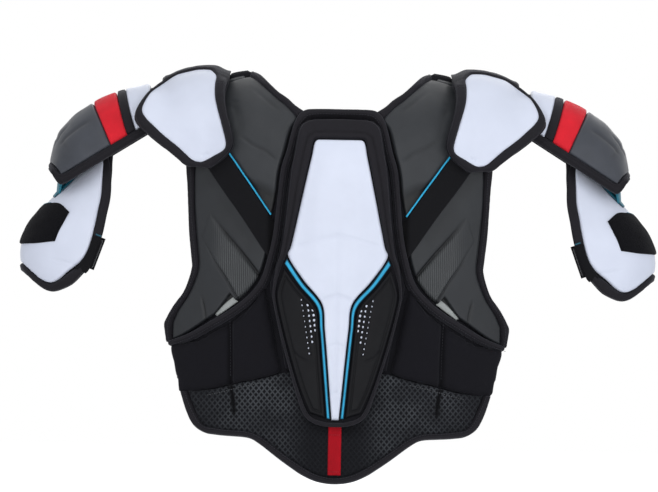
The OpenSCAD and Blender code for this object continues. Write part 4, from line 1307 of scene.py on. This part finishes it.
def strap_faces(m, w):
    """Faces of a closed strap: a front and a back of m by w points each, and its four sides."""
    h, last = m * w, (m - 1) * w
    F = []
    for i in range(m - 1):
        for j in range(w - 1):
            a, b = i * w + j, (i + 1) * w + j
            F += [(a, b, b + 1, a + 1), (h + a, h + a + 1, h + b + 1, h + b)]
    for i in range(m - 1):
        a, b = i * w, (i + 1) * w
        F += [(a, h + a, h + b, b), (a + w - 1, b + w - 1, h + b + w - 1, h + a + w - 1)]
    for j in range(w - 1):
        a = last + j
        F += [(j, j + 1, h + j + 1, h + j), (a, h + a, h + a + 1, a + 1)]
    return F


def ribbon(path, thick, z0, z1):
    """An upright flat strap along a path in plan, rounded at its edges."""
    p, n, s = plan_line(path, 2.0)
    h = z1 - z0
    prof = [(0, 0.5), (0.02, 0.9), (0.06, 1.0)]
    prof += [(k, 1.0 - 0.03 * (i % 2)) for i, k in enumerate(np.linspace(0.12, 0.88, 10))]
    prof += [(0.94, 1.0), (0.98, 0.9), (1, 0.5)]
    out, inn, uv = [], [], []
    for i in range(len(p)):
        mid = p[i] + n[i] * thick / 2
        for k, q in prof:
            out.append([*(mid + n[i] * thick * (q - 0.5)), z0 + k * h])
            inn.append([*(mid - n[i] * thick * (q - 0.5)), z0 + k * h])
            uv.append([s[i], k * h])
    return Shape(np.array(out + inn), strap_faces(len(p), len(prof)), np.array(uv + uv) * MM)


def cap_dent(P, G, D):
    d = 0.5 * wobble(P, 24, 1.4)
    d += groove(P, [[160, -84], [150, -79]], 1.5, 0.8, 0.3)
    d -= 0.8 * bell(to_line(seen(P), [[176, -8], [186, -40]])[0], 20)
    d += 2.4 * smooth((P[..., 0] - 186) / 20) * smooth((P[..., 2] + 14) / 12)
    return d


def cap_rim_dent(P, G, D):
    x, z = P[..., 0], P[..., 2]
    low = 1.2 * smooth((x - 184) / 18) * smooth((z + 10) / 10)
    low += 4.8 * smooth((146 - x) / 17) * smooth((z - 3) / 10)
    return low + 0.22 * wobble(P, 5, 0.8) + 0.5 * bell(D - 1.5, 0.5)


WIDE = (-1.5, 4, 12, 24, 36, 48, 60, 72, 84, 96, 108, 116, 121.5)


def shell_dent(P, G, D):
    """Creases of the arm cap's moulded shell: two long rounded ridges and a fold at the nose."""
    t, u = G[..., 0], G[..., 1]
    d = np.zeros_like(t)
    for uc, t0, t1 in ((30, 66, 112), (90, 66, 112), (44, 88, 118), (76, 88, 118)):
        k = smooth((t - t0) / 12) * smooth((t1 - t) / 10)
        d += 1.2 * k * bell(u - uc - 0.10 * (t - 80), 2.2)
    d -= 1.1 * smooth((t - 60) / 25) * bell(u - 60, 14)
    nose = 0.9 * bell(t - 108 + 0.002 * (u - 60) ** 2, 2.0)
    d += nose * smooth((u - 14) / 12) * smooth((106 - u) / 12)
    return d + 0.35 * wobble(P, 13, 0.5)


def side(name, left):
    """All that one side has, on its own five bodies."""
    def own(key):
        return name + "_" + key

    def put(key, shape, material, body, nodes=()):
        return piece(own(key), shape, material, own(body), tuple(own(x) for x in nodes), mirror=left)

    # flank belt
    belt = ribbon(belt_path, STRAP, BELT_LOW, BELT_HIGH)
    tab = ribbon(tab_path, STRAP + 0.6, BELT_LOW - 2, BELT_HIGH + 1)
    put("belt_elastic", belt, elastic, "side_belt", ("side_belt",))
    put("belt_tab", tab, hook, "side_belt")
    st = stitches(tab_stitch_line(), 2.6, 1.8, 0.3)
    put("belt_stitches", st, thread, "side_belt")

    # shoulder cap
    put("cap_padding", panel(cap, saddle(cap_out, 204), saddle(cap_in, 128), 0, 6, 2.6, 4, 0.35), foam_black, "cap",
        ("cap_pad",))
    crest = [[x, ARCH] for x in (129, 148, 167, 186, 203)]
    top = [[155, 19], [160, 19.1], [165, 19]]
    eye = np.array([182.0, 58.0])
    A = rays(np.concatenate([on_cap(spline(cap_in, 6)), crest, on_cap(spline(cap_out, 6))[::-1]]), eye)
    B = rays(np.concatenate([on_cap(spline(ring_in_a, 6)), on_cap(top), on_cap(spline(ring_in_b, 6))[::-1]]), eye)
    low = int(np.argmin(B[:, 1]))
    rim = eye + (B - eye) * (1 + 2.0 / np.linalg.norm(B - eye, axis=1, keepdims=True))
    half = [np.roll(rim, -low, 0)[1:74], np.roll(rim, -low - 1, 0)[::-1][1:74]]
    put("cap_white_panel", panel(cap, half[0], half[1], CAP_TOP, CAP_TOP + 3.4, 2.0, 3, 0.35, crown=1.4,
                                 dent=cap_dent), white, "cap", ("cap_plate",))
    put("cap_rolled_border", panel(cap, A, B, CAP_TOP, CAP_TOP + 5.4, 1.6, 4.6, 0.2, loop=True, cols=12,
                                   dent=cap_rim_dent), binding, "cap", ("cap_rim",))
    st = stitches(run_on(cap, B + (A - B) * 0.16, CAP_TOP + 3.2, loop=True), 3.2, 2.2, 0.3)
    put("cap_border_stitches", st, thread, "cap")

    # arm cap
    us = [-12, 0, 12, 24, 36, 48, 60, 72, 84, 96, 108, 120, 132]
    put("arm_padding", panel(arm, slant(118, 127, us), slant(14, -22, us), 0, 5, 2.6, 3, 0.4), foam_black, "arm_cap",
        ("arm_pad",))
    put("arm_white_fabric", panel(arm, slant(31.5, 20, WIDE), slant(7, -7, WIDE), ARM_TOP, ARM_TOP + 4.6, 1.8, 1.6,
                                  0.5, dent=uneven(0.25, 9)), white, "arm_cap", ("arm_white_band",))
    put("arm_red_fabric", panel(arm, slant(64.5, 57, WIDE), slant(42.5, 30, WIDE), ARM_TOP, ARM_TOP + 5.0, 1.8, 1.8,
                                0.5, crown=0.5, dent=uneven(0.25, 11, seam=(0.4, 2.0, 0.5))),
        red, "arm_cap", ("arm_red_band",))
    band = panel(arm, slant(42.5, 29.5, WIDE), slant(31, 19.5, WIDE), ARM_TOP, ARM_TOP + 4.8, 1.8, 2.5, 0.3)
    put("arm_dark_band", band, binding, "arm_cap")
    put("arm_moulded_shell", panel(arm, slant(127.5, 128, WIDE), slant(64.5, 57.5, WIDE), ARM_TOP, ARM_TOP + 4.8,
                                   1.6, 3.0, 0.3, dent=shell_dent), grey_arm, "arm_cap", ("arm_shell",))
    put("arm_rolled_edge", panel(arm, across(edge_out), across(edge_in), ARM_TOP - 2.5, ARM_TOP + 6.2, 1.6, 4.4, 0.45,
                                 cols=14, dent=uneven(0.3, 6, 0.4, (0.8, 3.4, 0.8))), binding, "arm_cap",
        ("arm_edge",))

    # bicep guard
    put("guard_padding", panel(guard_low, guard_edge, far_side(guard_edge), 0, 4.6, 2.4, 3, 0.35), foam_black,
        "bicep_guard", ("bicep_pad",))
    put("guard_white_panel", panel(guard_low, guard_plate_edge, far_side(guard_plate_edge), GUARD_TOP,
                                   GUARD_TOP + 3.2, 1.8, 2.6, 0.35, crown=0.9,
                                   dent=lambda P, G, D: 0.45 * wobble(P, 17, 2.7)
                                   + 0.7 * bell(G[..., 0] - 112 - 0.25 * G[..., 1], 1.2)
                                   * smooth((22 - G[..., 1]) / 12)),
        white, "bicep_guard", ("bicep_plate",))
    rim = panel(guard_low, across(guard_rim_out), across(guard_rim_in), GUARD_TOP - 1.5, GUARD_TOP + 5.0, 1.5, 4, 0.2,
                cols=10, dent=uneven(0.25, 5, 1.0, (0.5, 1.6, 0.5)))
    rim += panel(guard, guard_web_out, guard_web_in, GUARD_TOP - 0.4, GUARD_TOP + 2.4, 1.5, 1.2, 0.4)
    put("guard_rolled_border", rim, binding, "bicep_guard", ("bicep_rim",))
    top_h = GUARD_TOP + 3.0 + GAP
    hk = panel(guard, [[61, 22], [57, 35], [61, 47], [66, 60], [64, 74]],
               [[97, 20.5], [105, 32], [110, 45], [112, 60], [108, 74]], top_h, top_h + 2.4, 1.4, 1.2, 0.4,
               dent=uneven(0.25, 7, 2.0))
    put("guard_hook_patch", hk, hook, "bicep_guard", ("hook_patch",))
    tip = panel(guard, [[71.6, -13], [74.4, -13]], [[71.6, -5], [74.4, -5]], GUARD_TOP, GUARD_TOP + 3.4, 0.8, 0.6,
                0.5)
    tip += tube(run_on(guard, [[61.2, 46], [63.6, 52], [66, 60], [65.6, 66]], top_h + 1.4), 0.9, 8)
    tip += panel(guard, [[14, 48], [32, 47], [54, 49]], [[14, 72], [32, 73], [54, 71]], GUARD_TOP + 3.4,
                 GUARD_TOP + 5.6, 1.4, 1.2, 0.5, crown=1.4)
    put("guard_blue_trim", tip + link_strip(), teal, "bicep_guard", ("blue_trim",))
    tabp = panel(guard, [[75, -13.8], [94, -13.8], [112, -13], [118, -11]], [[75, -2.6], [94, -3.4], [112, 0],
                 [118, 1.5]], GUARD_TOP - 1, GUARD_TOP + 4.2, 1.4, 1.6, 0.4,
                 dent=uneven(0.3, 6, 1.5, (0.4, 2.2, 0.6)))
    put("strap_tab_webbing", tabp, elastic, "arm_strap", ("strap_tab",))
    put("arm_elastic", arm_elastic(), elastic, "arm_strap", ("arm_strap",))
    anchor = panel(guard, [[74, 137], [93, 137], [112, 137]], [[74, 120], [93, 120], [112, 120]], 1.5,
                   GUARD_TOP + 1.6, 1.4, 1.0, 0.5, dent=uneven(0.2, 6, 0.9, (0.4, 2.0, 0.6)))
    put("strap_anchor_webbing", anchor, elastic, "bicep_guard")


def tab_stitch_line():
    p, n, _ = plan_line(tab_path, 1.5)
    q = p + n * (STRAP + 0.75)
    return np.column_stack([q, BELT_LOW + 2 + 0 * q[:, 0]])[3:-3]


def boxy(corner, size, frame_fn, n):
    """A flat strap in a tilted frame, rounded at its long edges."""
    x = np.linspace(0, 1, n[0] + 1)
    y = np.linspace(0, 1, n[1] + 1)
    g = np.stack(np.meshgrid(x, y, indexing="ij"), -1)
    k = np.minimum(g[..., 0], 1 - g[..., 0]) * size[0]
    t = 0.5 + 0.5 * np.sqrt(np.clip(1 - (1 - np.clip(k / 0.9, 0, 1)) ** 2, 0, 1))
    mid = size[2] / 2
    top = np.stack([corner[0] + g[..., 0] * size[0], corner[1] + g[..., 1] * size[1],
                    corner[2] + mid + mid * t], -1)
    low = np.stack([top[..., 0], top[..., 1], corner[2] + mid - mid * t], -1)
    V = np.concatenate([top.reshape(-1, 3), low.reshape(-1, 3)])
    uv = np.concatenate([(g * [size[0], size[1]]).reshape(-1, 2)] * 2) * MM
    return Shape(frame_fn(V), strap_faces(n[0] + 1, n[1] + 1), uv)


def guard_frame(p):
    return tilted(p, GUARD_TILT, GUARD_AT)


def arm_elastic():
    return boxy((76, -51.6, GUARD_BASE - 13.6 - STRAP), (34, 99.6, STRAP + 0.5), guard_frame, (16, 30))


def link_strip():
    def fn(p):
        drop = (4.2 - 6 * p[:, 0] / LINK_LEN) * (p[:, 1] / 18) ** 2
        return guard_frame(tilted(p - np.stack([0 * drop, 0 * drop, drop], -1), 16, (44.5, 0, 36.6)))
    return boxy((-LINK_LEN, -LINK_W / 2, 0), (LINK_LEN, LINK_W, STRAP), fn, (12, 14))


side("left", True)
side("right", False)

# ---------------------------------------------------------------- studio
low = cad_box[0]
floor = bpy.data.meshes.new("floor")
FLOOR_HALF = 6.0
z = low[2] - 0.03
floor.from_pydata([(x * FLOOR_HALF, y * FLOOR_HALF, z) for x, y in ((-1, -1), (1, -1), (1, 1), (-1, 1))], [],
                  [(0, 1, 2, 3)])
floor.materials.append(floor_look())
floor_obj = bpy.data.objects.new("floor", floor)
bpy.context.scene.collection.objects.link(floor_obj)

world = bpy.context.scene.world or bpy.data.worlds.new("studio")
bpy.context.scene.world = world
world.use_nodes = True
world.node_tree.nodes.clear()
by_ray(world.node_tree, shader(world.node_tree, "ShaderNodeBackground", (0.93, 0.95, 1.0), 0.53),
       shader(world.node_tree, "ShaderNodeBackground", (1, 1, 1), 1.0), "ShaderNodeOutputWorld")


def lamp(name, at, aim, size, power, color=(1, 1, 1)):
    d = bpy.data.lights.new(name, "AREA")
    d.shape, d.size, d.energy, d.color = "SQUARE", size, power, color
    o = bpy.data.objects.new(name, d)
    o.location = at
    o.rotation_euler = (Vector(aim) - Vector(at)).to_track_quat("-Z", "Y").to_euler()
    bpy.context.scene.collection.objects.link(o)


mid = (0.0, 0.0, -0.2)
lamp("key", (-0.9, -1.9, 1.5), mid, 1.6, 10)
lamp("fill", (1.8, -1.9, 0.4), mid, 1.8, 12, (0.95, 0.97, 1))
lamp("top", (0.2, 0.3, 2.2), mid, 1.8, 7)
lamp("front", (0.0, -2.9, -0.6), mid, 1.6, 43)
lamp("rear", (0.3, 2.4, 0.9), mid, 1.8, 12)

cam = bpy.data.cameras.new("camera")
cam.sensor_width = 36
cam.lens = 947.0
cam.clip_end = 50
cam_obj = bpy.data.objects.new("camera", cam)
cam_obj.location = (-0.0104, -20.0, -0.184)
cam_obj.rotation_euler = (math.pi / 2, math.radians(-1.0), 0)
bpy.context.scene.collection.objects.link(cam_obj)
bpy.context.scene.camera = cam_obj
bpy.context.scene.view_settings.view_transform = "Standard"
